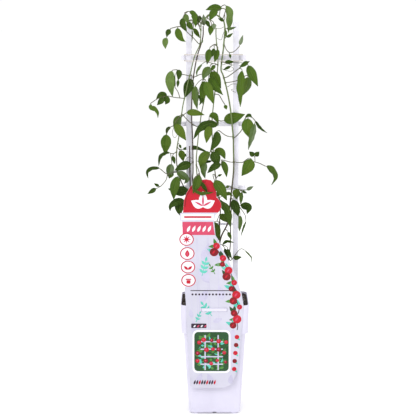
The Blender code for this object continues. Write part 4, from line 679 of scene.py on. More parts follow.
        (233.8, 162, -6), (238.5, 162.5, -10), (243, 162.3, -6), (249, 161, 6), (255, 162, 20),
        (260, 163.5, 36), (265, 166, 54),
    ], [
        ("m", 5.5, [(265, 166, 54)],
         [(266.5, 166.3, 58), (273.3, 170.5, 68), (276.4, 177, 72), (273.3, 186, 70)]),
        ("m", 10.5, [(243, 162.3, -6), (248.5, 158.3, -12)],
         [(251.5, 159, -14), (248.6, 166, -17), (241.5, 176.5, -14)]),
        ("d", 4.6, [(255, 162, 20), (254.8, 157.5, 20)], [(254.2, 156, 20), (249.2, 151.6, 18)]),
        ("d", 4.6, [(254.8, 157.5, 20)], [(255.3, 156, 20), (259.2, 151.6, 22)]),
    ]),
    "leaf_32": ("stem_left", 1, [
        (178, 172, -8), (175, 171.5, -16), (171, 173, -28), (167.5, 174, -38), (164.5, 172.5, -46),
        (161, 169.5, -52),
    ], [
        ("d", 3.6, [(161, 169.5, -52)],
         [(159.5, 168.5, -54), (153, 168, -60), (147.5, 171.5, -64), (148.5, 178.5, -64)]),
        ("d", 2.6, [(167.5, 174, -38), (166, 180, -40), (161, 186, -44)],
         [(159, 186.3, -45), (154, 183.5, -47)]),
        ("d", 4, [(161, 186, -44), (157.5, 188, -46)], [(156, 188.5, -46), (147.5, 194, -48)]),
    ]),
    "leaf_33": ("stem_brown", 1, [(193, 162, -3), (192.3, 162.5, -11)], [
        ("d", 8, [(192.3, 162.5, -11)], [(191, 164, -14), (183, 166, -18), (174.5, 170.5, -19)]),
    ]),
    "leaf_34": ("stem_left", 1.2, [(178.2, 173, -8), (177.5, 171.5, -14)], [
        ("g", 7, [(177.5, 171.5, -14), (176.3, 170.8, -22)],
         [(177, 171.8, -24), (182, 175, -27), (187, 179.5, -26), (184, 184, -24)]),
    ]),
    "leaf_35": ("stem_left", 1.2, [
        (180.6, 180, -8.9), (179.4, 181.5, -18), (178.3, 180.5, -28), (178, 177.8, -31),
    ], [
        ("m", 8.5, [(178, 177.8, -31)], [(178, 176.5, -32), (174.3, 188, -35), (173.6, 200.5, -33)]),
    ]),
    "leaf_36": ("stem_left", 1.3, [(184, 188, -10), (186.5, 188.3, -13.5), (188.5, 189.3, -17)], [
        ("d", 9, [(188.5, 189.3, -17)], [(188, 189.6, -18), (180, 191, -20), (168, 188.8, -19)]),
    ]),
    "leaf_37": ("stem_left", 1.2, [(187.2, 201, -12.6), (185.5, 199.8, -20)], [
        ("d", 6.5, [(185.5, 199.8, -20)],
         [(184, 200, -22), (176.5, 202, -25), (170.8, 206, -24), (170, 211.5, -23)]),
        ("d", 9, [(185.5, 199.8, -20)], [(184.5, 201, -19), (179.5, 207, -19), (180.3, 216, -18)]),
    ]),
    "leaf_38": ("stem_pale", 1, [
        (196.5, 165, -9.3), (197.3, 167, -26), (198.5, 170, -48), (199.3, 173, -68),
    ], [
        ("m", 8, [(199.3, 173, -68)], [(199, 175, -68), (196.5, 184, -66), (193, 193.5, -65)]),
        ("d", 3.6, [(199.3, 173, -68), (200.5, 178, -67)], [(200.8, 182, -66.5), (208, 193.5, -66)]),
        ("m", 3.5, [(199.3, 173, -68), (193.5, 180, -72), (192.5, 188, -72)],
         [(194, 190.3, -71), (201, 193.6, -70), (214, 193, -67)]),
    ]),
    "leaf_39": ("stem_centre", 1, [
        (216, 176, -5), (214, 174.5, -24), (213, 174.5, -48), (213.3, 177, -66),
    ], [
        ("m", 9, [(213.3, 177, -66)], [(214.5, 180.5, -68), (221.3, 189.5, -68), (227, 200.5, -66)]),
    ]),
    "leaf_40": ("stem_right", 1.8, [
        (231.9, 188, -6), (236, 188.6, -11), (240, 189.8, -14), (246, 190, -18),
    ], [
        ("s", 3.2, [(246, 190, -18)], [(246.6, 189.9, -18), (253.5, 186.3, -19)]),
        ("o", 7, [(236, 188.6, -11)], [(236.4, 188.8, -13), (236.3, 199.5, -15)]),
        ("g", 3.6, [(240, 189.8, -14)], [(241.6, 192, -17), (241, 205, -19)]),
        ("d", 2.4, [(240, 189.8, -14)], [(242, 191, -15.5), (247, 193.3, -18)]),
    ]),
    "leaf_41": ("stem_centre", 1.2, [(219.7, 199, -5), (218.3, 197.5, -14), (217.8, 198, -26)], [
        ("m", 6.8, [(217.8, 198, -26)], [(218.3, 200, -29), (227.2, 210, -33), (231.2, 228, -30)]),
        ("o", 4.4, [(217.8, 198, -26)], [(217.9, 196.6, -26), (216.8, 191.4, -27)]),
        ("o", 3.4, [(217.8, 198, -26), (222, 196.4, -24)],
         [(225, 194.6, -24), (229, 193.6, -24), (233, 196.2, -23)]),
    ]),
    "leaf_42": ("stem_right", 1.3, [(230.5, 199, -7.3), (231.8, 198, -14)], [
        ("d", 8, [(231.8, 198, -14)], [(232.6, 199.8, -15), (235.6, 207, -18), (238.6, 217, -17)]),
    ]),
    "leaf_43": ("stem_low", 2.5, [(231.4, 207, 8), (235, 206, 12), (239, 206, 13)], [
        ("d", 7, [(239, 206, 13)], [(240.5, 205.5, 12), (248.5, 207, 10), (247, 214, 8)]),
        ("L", 5, [(239, 206, 13), (240, 212, 14)], [(240, 215.5, 14), (239.5, 231.5, 12)]),
        ("m", 1.8, [(239, 206, 13), (245, 215, 16)], [(246, 221.5, 16), (240.5, 236, 15)]),
    ]),
    "leaf_44": ("stem_centre", 1.2, [(219.6, 222, -4), (217, 221, -12)], [
        ("m", 8, [(217, 221, -12)], [(213.5, 222, -17), (216.6, 231, -20), (219, 240.5, -20)]),
        ("o", 6, [(217, 221, -12), (219.5, 214.5, -17)], [(220.6, 214, -18), (227.5, 222.5, -20)]),
    ]),
    "leaf_45": ("stem_right", 1, [(219.5, 244, -11.7), (222, 244.8, -18)], [
        ("d", 3, [(222, 244.8, -18)], [(222.8, 244.5, -18.5), (227, 241.7, -20), (234, 242.7, -20)]),
        ("d", 3.5, [(222, 244.8, -18), (224, 247, -19)], [(224.6, 248.4, -19), (228.5, 260.5, -20)]),
        ("d", 3, [(222, 244.8, -18), (226.8, 246.5, -22)], [(227.4, 248.8, -23), (231.8, 259, -24)]),
    ]),
    "leaf_46": ("stem_low", 1, [(228.8, 259, 1.5), (230.5, 260.5, -5), (232.8, 258.3, -6)], [
        ("m", 4, [(232.8, 258.3, -6)], [(233.5, 258.2, -6), (241.8, 257, -7)]),
        ("o", 1.2, [(232.8, 258.3, -6), (237, 252.5, -12), (241, 248.8, -13)],
         [(245, 250.3, -14), (251.3, 257, -15), (251.5, 262.5, -15)]),
    ]),
}


SOIL_FOOT = 0.1845
FOOT_GROWTH = 1.15
TIP_SHARE = 0.95
JOINT_SWELL = 0.42
JOINT_SPREAD = 0.0017
RING_SPACING = 0.0016
UNEVEN_SHARE = 0.05


def shoot_route(name):
    """The stem's way from its tip down to its foot in the compost."""
    points = SHOOTS[name][2]
    foot = front_view(*points[-1])
    foot.z = SOIL_FOOT
    return [*grown([front_view(*point) for point in points], steps=6), foot]


def nearest_on(route, point):
    """The nearest point on a route, the way the route runs there, and how far along it lies."""
    best = None
    gone = 0.0
    for a, b in zip(route, route[1:]):
        leg = b - a
        t = max(0.0, min(1.0, (point - a).dot(leg) / leg.length_squared))
        found = a + leg * t
        if best is None or (found - point).length < (best[0] - point).length:
            best = (found, leg.normalized(), gone + leg.length * t)
        gone += leg.length
    return best


def bark(name, young, ripe, ribs, ripe_up_to):
    """Bark that is young at the shoot's top and ripened below this height, with darker ribs along it."""
    made, shader, place = finish(name, {"Specular IOR Level": 0.2})
    high = place.node("ShaderNodeSeparateXYZ", {}, {0: place}, 2)
    patches = speckle(place, 60, 3.0)
    lines = speckle(place, 1500, 3.0, (1, 1, 0.05))
    ripened = (high + (patches - 0.5) * 0.16).step(ripe_up_to + 0.07, ripe_up_to - 0.07)
    base = ripened.blend(young, ripe)
    base = (lines.step(0.45, 0.62) * 0.5).blend(base, ribs)
    wear(shader, base, 0.5 + lines * 0.25, lines + patches * 0.5, 0.00035)
    return made


BARKS = {
    "green": bark("green_bark", (0.165, 0.225, 0.085), (0.085, 0.066, 0.040), (0.075, 0.055, 0.035), 0.46),
    "pale": bark("pale_bark", (0.200, 0.235, 0.125), (0.105, 0.120, 0.060), (0.085, 0.075, 0.045), 0.40),
    "brown": bark("brown_bark", (0.080, 0.052, 0.036), (0.062, 0.040, 0.028), (0.028, 0.016, 0.012), 0.60),
}

for name, (radius, colour, _points) in SHOOTS.items():
    route = shoot_route(name)
    places = evenly(route, round(path_length(route) / RING_SPACING))
    joints = [
        nearest_on(route, front_view(*stalk[0]))[2]
        for stem, _reach, stalk, _leaflets in LEAVES.values() if stem == name
    ]
    whole = path_length(route)
    radii = []
    for index in range(len(places)):
        along = whole * index / (len(places) - 1)
        share = TIP_SHARE + (FOOT_GROWTH - TIP_SHARE) * along / whole
        swell = sum(math.exp(-(((along - joint) / JOINT_SPREAD) ** 2)) for joint in joints)
        uneven = UNEVEN_SHARE * noise.noise(Vector((along * 160, radius * 9000, 0.0)))
        radii.append(radius * (share + JOINT_SWELL * min(1.0, swell) + uneven))
    bm = bmesh.new()
    shoot(bm, places, radii)
    surface = BARKS["pale" if name == "stem_pale" else colour]
    ride_root(name.replace("stem", "vine"), bm, [surface], [name])


# The leaves: each grows from a joint on its stem as a thin stalk that carries one to five leaflets. A
# leaflet is a thin blade with a sunk midrib and two side veins that meet at its long tip, dark and satin
# above, pale and matt below, folded along the middle, bowed, and a little wavy along its edges.

STALK_RADIUS = 0.00078
STALK_TIP = 0.00056
CLEAR_OF_STEM = 0.0003
STRAIGHT_OUT = 0.0016
FOLD = 0.27
BOW = 0.06
NATURAL_RATIO = 0.34
MOST_TURN = math.radians(42)
APPARENT_PIXEL = 0.00205
BLADE_THICKNESS = 0.00032
ACROSS = 10
ALONG = 18
# Dark, two letters for middling, olive, grey-green and silvery young.
TONE_CODES = {"d": 0.0, "m": 0.33, "l": 0.33, "o": 0.55, "g": 0.78, "s": 1.0}
TONE_SPREAD = 0.09
NARROWEST_SHARE = 0.035
FOLD_ROUNDING = 1.4
EDGE_WAVE = 0.13
WAVE_COUNTS = (2.2, 4.2)
EDGE_ROLLS = (-0.10, 0.30)
TIP_CURLS = (-0.05, 0.10)
MIDRIB_RISE = 0.00022
MIDRIB_SHARE = 0.12
LEAST_LEVEL = 0.25

blade_finish, shader, place = finish("leaf_blade", {"Specular IOR Level": 0.10})
look = place.node("ShaderNodeAttribute", {"attribute_name": "blade"}, {}, "Color")
across, along, under = (
    look.node("ShaderNodeSeparateColor", {}, {"Color": look}, channel) for channel in range(3)
)
tone = place.node("ShaderNodeAttribute", {"attribute_name": "blade"}, {}, "Alpha")
centred = (across * 2 - 1).maths("ABSOLUTE")
midrib = centred.step(0.085, 0.015)
side_vein = (centred - 0.46).maths("ABSOLUTE").step(0.055, 0.01)
slant = (along * 34 - centred * 9).maths("SINE")
fine_vein = slant.step(0.80, 0.99) * 0.55
blotch = speckle(place, 130, 3.0)
pimples = speckle(place, 1600, 3.0)
veins = midrib.maths("MAXIMUM", side_vein * 0.65).maths("MAXIMUM", fine_vein * 0.5)
aged = place.node("ShaderNodeSeparateXYZ", {}, {0: place}, 2).step(0.54, 0.33)
# The sign of across in the ramp's factor makes one half of every leaflet a little lighter than the other
# half. This is painted light: it stands in for the two sides of the fold catching the lamps differently.
top = tone.node("ShaderNodeValToRGB", {"stops": (
    (0.0, (0.027, 0.058, 0.005)), (0.33, (0.062, 0.120, 0.011)), (0.55, (0.086, 0.134, 0.012)),
    (0.78, (0.068, 0.115, 0.028)), (1.0, (0.190, 0.240, 0.145)),
)}, {"Fac": tone + (blotch - 0.5) * 0.10 + (across - 0.5).maths("SIGN") * 0.05})
top = (aged * 0.42).blend(top, (0.020, 0.044, 0.004))
top = (veins * 0.42).blend(top, (0.13, 0.205, 0.040))
top = (centred.step(0.80, 1.0) * 0.25).blend(top, (0.022, 0.055, 0.006))
back = blotch.step(0.3, 0.7).blend((0.098, 0.160, 0.036), (0.128, 0.200, 0.052))
back = (aged * 0.25).blend(back, (0.055, 0.095, 0.020))
back = (veins * 0.40).blend(back, (0.22, 0.31, 0.12))
base = under.blend(top, back)
relief = pimples * 0.25 - midrib * 1.1 - side_vein * 0.6 - fine_vein * 0.35 + blotch * 0.6
wear(shader, base, 0.40 + under * 0.22 + pimples * 0.16, relief, 0.00035)

stalk_finish, shader, place = finish("leaf_stalk", {"Specular IOR Level": 0.2})
streak = speckle(place, 210, 3.0)
lines = speckle(place, 1900, 2.0, (1, 1, 0.1))
base = streak.step(0.38, 0.66).blend((0.075, 0.095, 0.035), (0.125, 0.105, 0.075))
base = (lines.step(0.50, 0.7) * 0.40).blend(base, (0.070, 0.042, 0.040))
wear(shader, base, 0.5 + lines * 0.2, lines, 0.0002)


def drawn_out(points, start_depth, reach):
    """Places whose depth from where the leaf starts is this many times as great."""
    return [(column, row, start_depth + (depth - start_depth) * reach) for column, row, depth in points]


def stalk_route(stem, points):
    """From just off the stem's side, straight out a little way, then through the stalk's points."""
    foot, runs, _gone = nearest_on(shoot_route(stem), front_view(*points[0]))
    way = front_view(*points[1]) - foot
    out = (way - runs * way.dot(runs)).normalized()
    start = foot + out * (SHOOTS[stem][0] * FOOT_GROWTH + CLEAR_OF_STEM)
    return [start, start + out * STRAIGHT_OUT, *(front_view(*point) for point in points[1:])]


def directions(path):
    """The way a path runs at each of its places."""
    before = [path[0], *path[:-1]]
    after = [*path[1:], path[-1]]
    return [(b - a).normalized() for a, b in zip(before, after)]


def width_share(t):
    """A leaflet's half width along its length: round at its base, broad low down, with a drawn-out tip."""
    return max(NARROWEST_SHARE, math.sin(math.pi * t**0.7) ** 0.85 * (1 - 0.25 * t**3))


def leaflet(bm, seed, tone_letter, width, blade, side):
    """Adds one blade to a mesh: a grid bent along the leaflet's path, then given its thickness."""
    path = evenly(grown([front_view(*point) for point in blade], steps=8), ALONG + 1)
    length = path_length(path)
    apparent = width * APPARENT_PIXEL
    real = min(max(apparent, NATURAL_RATIO * length), apparent / math.cos(MOST_TURN))
    turn = side * math.acos(apparent / real)
    rng = random.Random(seed)
    wave = rng.uniform(0, math.tau)
    waves = rng.uniform(*WAVE_COUNTS)
    roll = rng.uniform(*EDGE_ROLLS)
    curl = rng.uniform(*TIP_CURLS) * length
    ways = directions(path)
    shown_under = 1.0 if tone_letter.isupper() else 0.0
    tone_value = TONE_CODES[tone_letter.lower()] + rng.uniform(-TONE_SPREAD, TONE_SPREAD)
    tone_value = min(1.0, max(0.0, tone_value))
    data = bm.verts.layers.float_color["blade"]
    grid = bmesh.ops.create_grid(bm, x_segments=ACROSS, y_segments=ALONG, size=1)["verts"]
    for corner in grid:
        s = -corner.co.x
        t = (corner.co.y + 1) / 2
        index = round(t * ALONG)
        runs = ways[index]
        level = runs.cross(Vector((0, 1, 0)))
        if level.length < LEAST_LEVEL:
            level = runs.cross(Vector((0, 0, 1)))
        level = Matrix.Rotation(turn, 3, runs) @ level.normalized()
        back = level.cross(runs).normalized()
        half = real / 2 * width_share(t)
        lean = s * half
        deep = half * FOLD * (1 - abs(s) ** FOLD_ROUNDING)
        deep += half * roll * s * s * math.sin(math.pi * t)
        deep += half * EDGE_WAVE * s * s * math.sin(wave + waves * math.tau * t + s)
        deep += curl * t**3
        deep += MIDRIB_RISE * math.exp(-((s / MIDRIB_SHARE) ** 2)) * math.sin(math.pi * t) ** 0.5
        bow = Vector((0, -BOW * length * math.sin(math.pi * t), 0))
        corner.co = path[index] + bow + level * lean + back * deep
        corner[data] = (s / 2 + 0.5, t, shown_under, tone_value)
    faces = list({face for corner in grid for face in corner.link_faces})
    for face in faces:
        face.normal_update()
    shell = bmesh.ops.solidify(bm, geom=faces, thickness=BLADE_THICKNESS)["geom"]
    old = set(grid)
    for item in shell:
        if isinstance(item, bmesh.types.BMVert) and item not in old:
            item[data] = (*item[data][:2], 1 - shown_under, tone_value)


def leaf(name, stem, reach, stalk, leaflets, stands_for):
    """A whole leaf as one piece: its stalk, and each leaflet's stalk and blade, turned to either side."""
    start_depth = stalk[0][2]
    bm = bmesh.new()
    bm.verts.layers.float_color.new("blade")
    path = stalk_route(stem, drawn_out(stalk, start_depth, reach))
    smooth = grown(path, steps=4)
    shoot(bm, smooth, [STALK_RADIUS] * len(smooth), roundness=1, finish_index=1)
    for number, (tone_letter, width, leaflet_stalk, blade) in enumerate(leaflets, 1):
        side = 1 if (number + len(name) + len(blade)) % 2 else -1
        leaflet_stalk = drawn_out(leaflet_stalk, start_depth, reach)
        blade = drawn_out(blade, start_depth, reach)
        stalk_points = [front_view(*point) for point in [*leaflet_stalk, blade[0]]]
        stalk_path = grown(stalk_points, steps=4)
        last = len(stalk_path) - 1
        radii = [STALK_RADIUS + (STALK_TIP - STALK_RADIUS) * i / last for i in range(last + 1)]
        shoot(bm, stalk_path, radii, roundness=1, finish_index=1)
        leaflet(bm, f"{name}{number}", tone_letter, width, blade, side)
    ride_root(f"fine_{name}", bm, [blade_finish, stalk_finish], stands_for)


for name, (stem, reach, stalk, leaflets) in LEAVES.items():
    leaf(name, stem, reach, stalk, leaflets, [name])


# Tendrils and the youngest growth: bare leaf stalks that curl round the ladder and each other, and small
# leaflets that have only just opened. They grow from the stems as the big leaves do.

TENDRIL_RADIUS = 0.00042
FOOT_SHARE = 1.25
THINNER_BY = 0.5
TENDRILS = (
    ("stem_right", [(224.9, 32, -7), (222.5, 36, -12), (221.5, 39.5, -13), (219, 39.5, -13), (217, 38, -12)]),
    ("stem_right", [(224.6, 27, -7.5), (221, 28.3, -12), (217, 28.5, -14), (213, 27.5, -15)]),
    ("stem_right", [(221.2, 69, -6), (226, 70.5, -9), (231, 71.2, -9), (233.6, 69, -8), (231, 66.5, -7)]),
    ("stem_right", [
        (221.3, 64.5, -6), (227, 63.5, -9), (233, 62, -6), (240.8, 62.5, -2.5), (242.3, 64, 3),
        (240.5, 65.5, 7), (234, 65.4, 7), (231.3, 64.2, 3), (233, 62.6, -3.2), (240, 63.4, -3.4)]),
    ("stem_right", [
        (226.3, 87, -7), (229, 86, -9), (232.6, 84, -6), (240.8, 84.5, -2.5), (242.4, 86.5, 3),
        (240, 88.5, 7), (233, 89.4, 7), (231.1, 89.8, 3), (233, 91.2, -2.6), (236, 92.4, -3)]),
    ("stem_pale", [
        (204.2, 99, -11), (202.6, 94, -15), (198.8, 93.4, -17), (199.2, 99, -17), (200.6, 103, -16)]),
    ("stem_left", [(189, 78.5, -12), (192.5, 84, -17), (197, 88.5, -19), (203, 95.5, -20)]),
    ("stem_brown", [(193.1, 158, -3), (189, 157, -8), (185.5, 160, -9), (186.5, 165, -8)]),
    ("stem_left", [
        (180.2, 127, -12), (176, 126.4, -15), (172.8, 130, -16), (173, 136, -16), (175.2, 137.6, -16),
        (177.6, 134.6, -15)]),
)
YOUNG = (
    ("stem_left", 1.2, [(200.8, 26, -5.5), (197, 21.5, -9), (191.5, 19.8, -12), (187.8, 20.8, -14)], [
        ("m", 4.6, [(187.8, 20.8, -14)], [(187.6, 21.6, -14), (190, 26.2, -15), (194, 30.2, -15)])]),
    ("stem_right", 1.5, [(224.2, 38, -6.2), (226, 37, -10)], [
        ("m", 2.6, [(226, 37, -10)], [(226.4, 36.6, -10), (229, 36, -12), (233, 33, -13)])]),
    ("stem_left", 1.2, [(200, 43, -7), (201.2, 42.8, -12)], [
        ("s", 1.6, [(201.2, 42.8, -12)], [(201.6, 43, -12), (203, 39.5, -13)])]),
    ("stem_left", 1.2, [(177.8, 143, -10), (179, 144, -15)], [
        ("d", 2.2, [(179, 144, -15)], [(179.3, 144.6, -15), (181.3, 148.5, -16)])]),
    ("stem_left", 1.2, [(178, 172, -8), (174, 172.4, -15)], [
        ("m", 3.0, [(174, 172.4, -15)], [(173.4, 173, -16), (169, 178.5, -18)])]),
    ("stem_centre", 1.2, [(215.6, 178, -5), (217.4, 176.6, -11)], [
        ("m", 2.0, [(217.4, 176.6, -11)], [(218, 176, -12), (222, 174.3, -13)])]),
    ("stem_right", 1.2, [(232, 187, -6), (229.5, 186, -11)], [
        ("o", 2.6, [(229.5, 186, -11)], [(229, 186, -11), (225.4, 187.8, -12)])]),
    ("stem_right", 1.2, [(225, 229, -10), (227.5, 231, -15)], [
        ("m", 3.4, [(227.5, 231, -15)], [(228, 232, -16), (231.5, 239.5, -17)])]),
)

tendrils = bmesh.new()
for stem, points in TENDRILS:
    path = grown(stalk_route(stem, points), steps=6)
    last = len(path) - 1
    radii = [TENDRIL_RADIUS * (FOOT_SHARE - THINNER_BY * i / last) for i in range(last + 1)]
    shoot(tendrils, path, radii, roundness=1)
ride_root("tendrils", tendrils, [stalk_finish])

for number, (stem, reach, stalk, leaflets) in enumerate(YOUNG, 1):
    leaf(f"young_leaf_{number:02d}", stem, reach, stalk, leaflets, [])


# The tie: a loop of flat beige elastic stretched round the stems and hooked over the top rung's two ends,
# woven from fine cords that show as ribs along it.

elastic_finish, shader, place = finish("woven_elastic", {"Specular IOR Level": 0.2})
cords = place.node("ShaderNodeTexWave", {"bands_direction": "DIAGONAL"}, {
    "Vector": place, "Scale": 900.0, "Distortion": 1.5,
})
fuzz = speckle(place, 1300, 3.0)
base = (cords * 0.6 + fuzz * 0.4).step(0.2, 0.8).blend((0.54, 0.46, 0.40), (0.84, 0.77, 0.71))
wear(shader, base, 0.75 + fuzz * 0.2, cords + fuzz * 0.5, 0.0003)
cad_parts["elastic_band"].data.materials.clear()
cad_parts["elastic_band"].data.materials.append(elastic_finish)


# The plant label: a die-cut card of semi-gloss white plastic sheet, hung by two slots on the pot's strap
# and printed in reds, pink, mint and greens with a plain leafy design. Each print is a thin film of ink
# on the card, drawn in places of the front view.

CARD_FACE = -0.0628
CARD_DEPTH_MM = -62.5
LAYER_STEP = 0.00005
LAYER_SPREAD = 0.8
SPREAD_TURN = 0.618
INK_THICKNESS = LAYER_STEP * 0.9

card_finish, shader, place = finish("card_sheet", {"Specular IOR Level": 0.5})
fibre = speckle(place, 700, 3.0)
bend_and_painted_shade = speckle(place, 18)
# The card's broad bend is real relief in the bump. It also tints the card lighter and darker, and that tint
# is painted shade for the bend.
base = bend_and_painted_shade.step(0.3, 0.7).blend((0.50, 0.492, 0.585), (0.555, 0.545, 0.645))
wear(shader, base, 0.28 + fibre * 0.14, fibre * 0.3 + bend_and_painted_shade, 0.0001)
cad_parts["plant_label"].data.materials.clear()
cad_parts["plant_label"].data.materials.append(card_finish)


def ink(name, deep, light):
    """Printing ink: two close tints in a fine grain, a little duller than the bare card."""
    made, shader, place = finish(name, {"Specular IOR Level": 0.25})
    dots = speckle(place, 950, 2.0)
    drift = speckle(place, 42, 2.0)
    base = (dots * 0.5 + drift * 0.5).step(0.35, 0.65).blend(deep, light)
    wear(shader, base, 0.34 + dots * 0.16, dots, 0.00003)
    return made


INKS = [
    ink("red_ink", (0.44, 0.006, 0.018), (0.50, 0.011, 0.028)),
    ink("dark_red_ink", (0.16, 0.004, 0.008), (0.24, 0.008, 0.014)),
    ink("pink_ink", (0.52, 0.048, 0.105), (0.57, 0.066, 0.132)),
    ink("white_ink", (0.72, 0.71, 0.77), (0.78, 0.77, 0.82)),
    ink("lilac_ink", (0.46, 0.44, 0.58), (0.54, 0.52, 0.66)),
    ink("mint_ink", (0.06, 0.44, 0.36), (0.13, 0.55, 0.44)),
    ink("green_ink", (0.045, 0.17, 0.03), (0.09, 0.26, 0.05)),
    ink("dark_green_ink", (0.012, 0.055, 0.016), (0.025, 0.085, 0.028)),
    ink("plum_ink", (0.020, 0.012, 0.022), (0.045, 0.028, 0.045)),
]
RED, DARK_RED, PINK, WHITE, LILAC, MINT, GREEN, DARK_GREEN, PLUM = range(len(INKS))


def print_shape(bm, outline, layer, colour):
    """One flat printed shape: its outline filled and laid on the card, a hair off the shapes beside it."""
    lift = LAYER_STEP * (layer + LAYER_SPREAD * (len(bm.faces) * SPREAD_TURN % 1))
    corners = []
    for column, row in outline:
        at = front_view(column, row, CARD_DEPTH_MM)
        corners.append(bm.verts.new((at.x, CARD_FACE - lift, at.z)))
    face = bm.faces.new(corners)
    face.normal_update()
    if face.normal.y > 0:
        face.normal_flip()
    face.material_index = colour
    raised = bmesh.ops.extrude_face_region(bm, geom=[face], use_keep_orig=False)["geom"]
    front = [item for item in raised if isinstance(item, bmesh.types.BMVert)]
    bmesh.ops.translate(bm, vec=(0, -INK_THICKNESS, 0), verts=front)
    for item in front:
        for side in item.link_faces:
            side.material_index = colour


def print_group(name, shapes):
    """One piece of print from shapes that are each (outline, layer, ink)."""
    bm = bmesh.new()
    for outline, layer, colour in shapes:
        print_shape(bm, outline, layer, colour)
    ride_root(name, bm, INKS)


def oval(column, row, across, down, count=36):
    """An oval round this place, with its half width and half height."""
    turns = [math.tau * step / count for step in range(count)]
    return [(column + across * math.cos(turn), row + down * math.sin(turn)) for turn in turns]


def leaf_shape(column, row, length, width, degrees, count=9):
    """A pointed leaf from its foot at this place, leaning this far from straight up."""
    turn = math.radians(degrees)
    steps = [step / count for step in range(1, count)]
    right = [(width / 2 * math.sin(math.pi * t**0.8), -length * t) for t in steps]
    left = [(-x, y) for x, y in reversed(right)]
    points = [(0, 0), *right, (0, -length), *left]
    return [
        (column + x * math.cos(turn) - y * math.sin(turn), row + x * math.sin(turn) + y * math.cos(turn))
        for x, y in points
    ]


def bar(left, top, right, bottom, corner, count=5):
    """A rectangle with round corners."""
    points = []
    middles = ((right - corner, bottom - corner), (left + corner, bottom - corner),
               (left + corner, top + corner), (right - corner, top + corner))
    for quarter, (column, row) in enumerate(middles):
        for step in range(count + 1):
            turn = math.pi / 2 * (quarter + step / count)
            points.append((column + corner * math.cos(turn), row + corner * math.sin(turn)))
    return points


def line(points, width):
    """A thin drawn line through these places, as one outline."""
    left, right = [], []
    before = [points[0], *points[:-1]]
    after = [*points[1:], points[-1]]
    for (column, row), (x0, y0), (x1, y1) in zip(points, before, after):
        size = math.hypot(x1 - x0, y1 - y0)
        across, down = (y0 - y1) / size * width / 2, (x1 - x0) / size * width / 2
        left.append((column + across, row + down))
        right.append((column - across, row - down))
    return [*left, *reversed(right)]


ARCH = (
    (183.0, 212.6), (184.1, 200), (186.6, 193.05), (190.07, 187.07), (195.05, 182.6), (200.03, 180.1),
    (206, 179.3), (210.95, 180.3), (214.42, 184.05), (215.9, 190), (216.5, 197.25), (219.12, 199.88),
    (220.9, 203.05), (221.28, 207), (219.5, 211.1), (217.9, 212.6),
)
ARCH_LINE = ((184.8, 207), (186.4, 196), (191.5, 187.6), (199, 182.6), (206, 181.8))
FINE_LINE = 0.8
FLOWER_FOOT = (203, 207)
PETAL_LINE_FOOT = (203, 206)
PETALS = ((-62, 13.5), (0, 16), (62, 13.5))
HEAD_BAND = (
    (bar(180.4, 213.4, 214.4, 220.6, 0.4), 0, LILAC),
    (bar(180.8, 213.8, 214.0, 220.2, 0.3), 1, WHITE),
    (bar(184, 216.1, 211.5, 217.9, 0.8), 2, RED),
    (((182.4, 221.8), (213, 221.8), (213.8, 229), (215, 235), (182.6, 235)), 0, PINK),
)
BAND_LEAVES = [(187.2 + 5.2 * step, 231.8) for step in range(5)]

shapes = [(ARCH, 0, RED), (line(ARCH_LINE, FINE_LINE), 1, DARK_RED)]
for degrees, length in PETALS:
    shapes.append((leaf_shape(*FLOWER_FOOT, length, 8.5, degrees), 1, WHITE))
    shapes.append((leaf_shape(*PETAL_LINE_FOOT, length * 0.72, 2.0, degrees), 2, PINK))
shapes += HEAD_BAND
shapes += [(leaf_shape(*place, 7.0, 2.7, 26), 1, WHITE) for place in BAND_LEAVES]
print_group("label_head_print", shapes)

BADGE_RING = (7.2, 6.3)
BADGE_FACE = (6.2, 5.4)
SUN, LEAF, SEEDLING, SMALL_POT = (186.6, 239.4), (187.3, 253.5), (188.0, 267.0), (188.5, 280.3)

shapes = []
for column, row in (SUN, LEAF, SEEDLING, SMALL_POT):
    shapes.append((oval(column, row, *BADGE_RING), 1, RED))
    shapes.append((oval(column, row, *BADGE_FACE), 2, WHITE))
    if (column, row) == SUN:
        shapes += [(leaf_shape(column, row, 4.4, 1.1, 45 * step), 3, PINK) for step in range(8)]
        shapes.append((oval(column, row, 1.7, 1.6, 20), 4, RED))
    elif (column, row) == LEAF:
        shapes.append((leaf_shape(column, row + 3.6, 7.4, 4.4, 0), 3, RED))
        shapes.append((leaf_shape(column, row + 2.6, 4.6, 2.0, 0), 4, PINK))
    elif (column, row) == SEEDLING:
        shapes += [(leaf_shape(column, row + 2.6, 5.6, 2.6, degrees), 3, RED) for degrees in (-50, 50)]
    else:
        shapes.append((bar(column - 2.7, row - 1.6, column + 2.7, row - 0.5, 0.3), 3, RED))
        shapes.append((bar(column - 2.0, row - 0.2, column + 2.0, row + 3.3, 0.6), 3, RED))
print_group("label_badge_print", shapes)

GROUND_LEAVES = (
    (203, 262, 20, 9, 18), (209, 283, 20, 9, -32), (200, 303, 16, 8, 30), (216, 262, 12, 6, 24),
    (196, 336, 15, 7, -12), (197, 384, 12, 6, 24), (191.6, 318, 9, 4.5, -8), (213, 322, 10, 5, 70),
    (223, 300, 16, 7, -16), (231, 340, 12, 6, 14), (213, 384, 12, 6, -28), (230, 384, 10, 5, 8),
)
HAIR_LINE = 0.35
GROUND_LINE_ROWS = (238, 286, 330)
GROUND_LINES = ((190, 191.5, 192.5), (196.5, 197.5, 198), (197.5, 199, 200), (207, 208, 208.5),
                (208, 209.5, 210.5), (217.5, 218.5, 219))
TWIG_LINE = 0.7
SPRIGS = ((202, 276, 15, 14, MINT, 3), (212, 316, 14, -38, MINT, 3), (196, 322, 9, 24, MINT, 2),
          (215, 274, 9, -30, GREEN, 2))
PLAIN_BAR = (190.5, 290.2, 234.5, 291.0, 0.3)
DOTS = [(192.5 + 3.4 * step, 294.4) for step in range(13)]


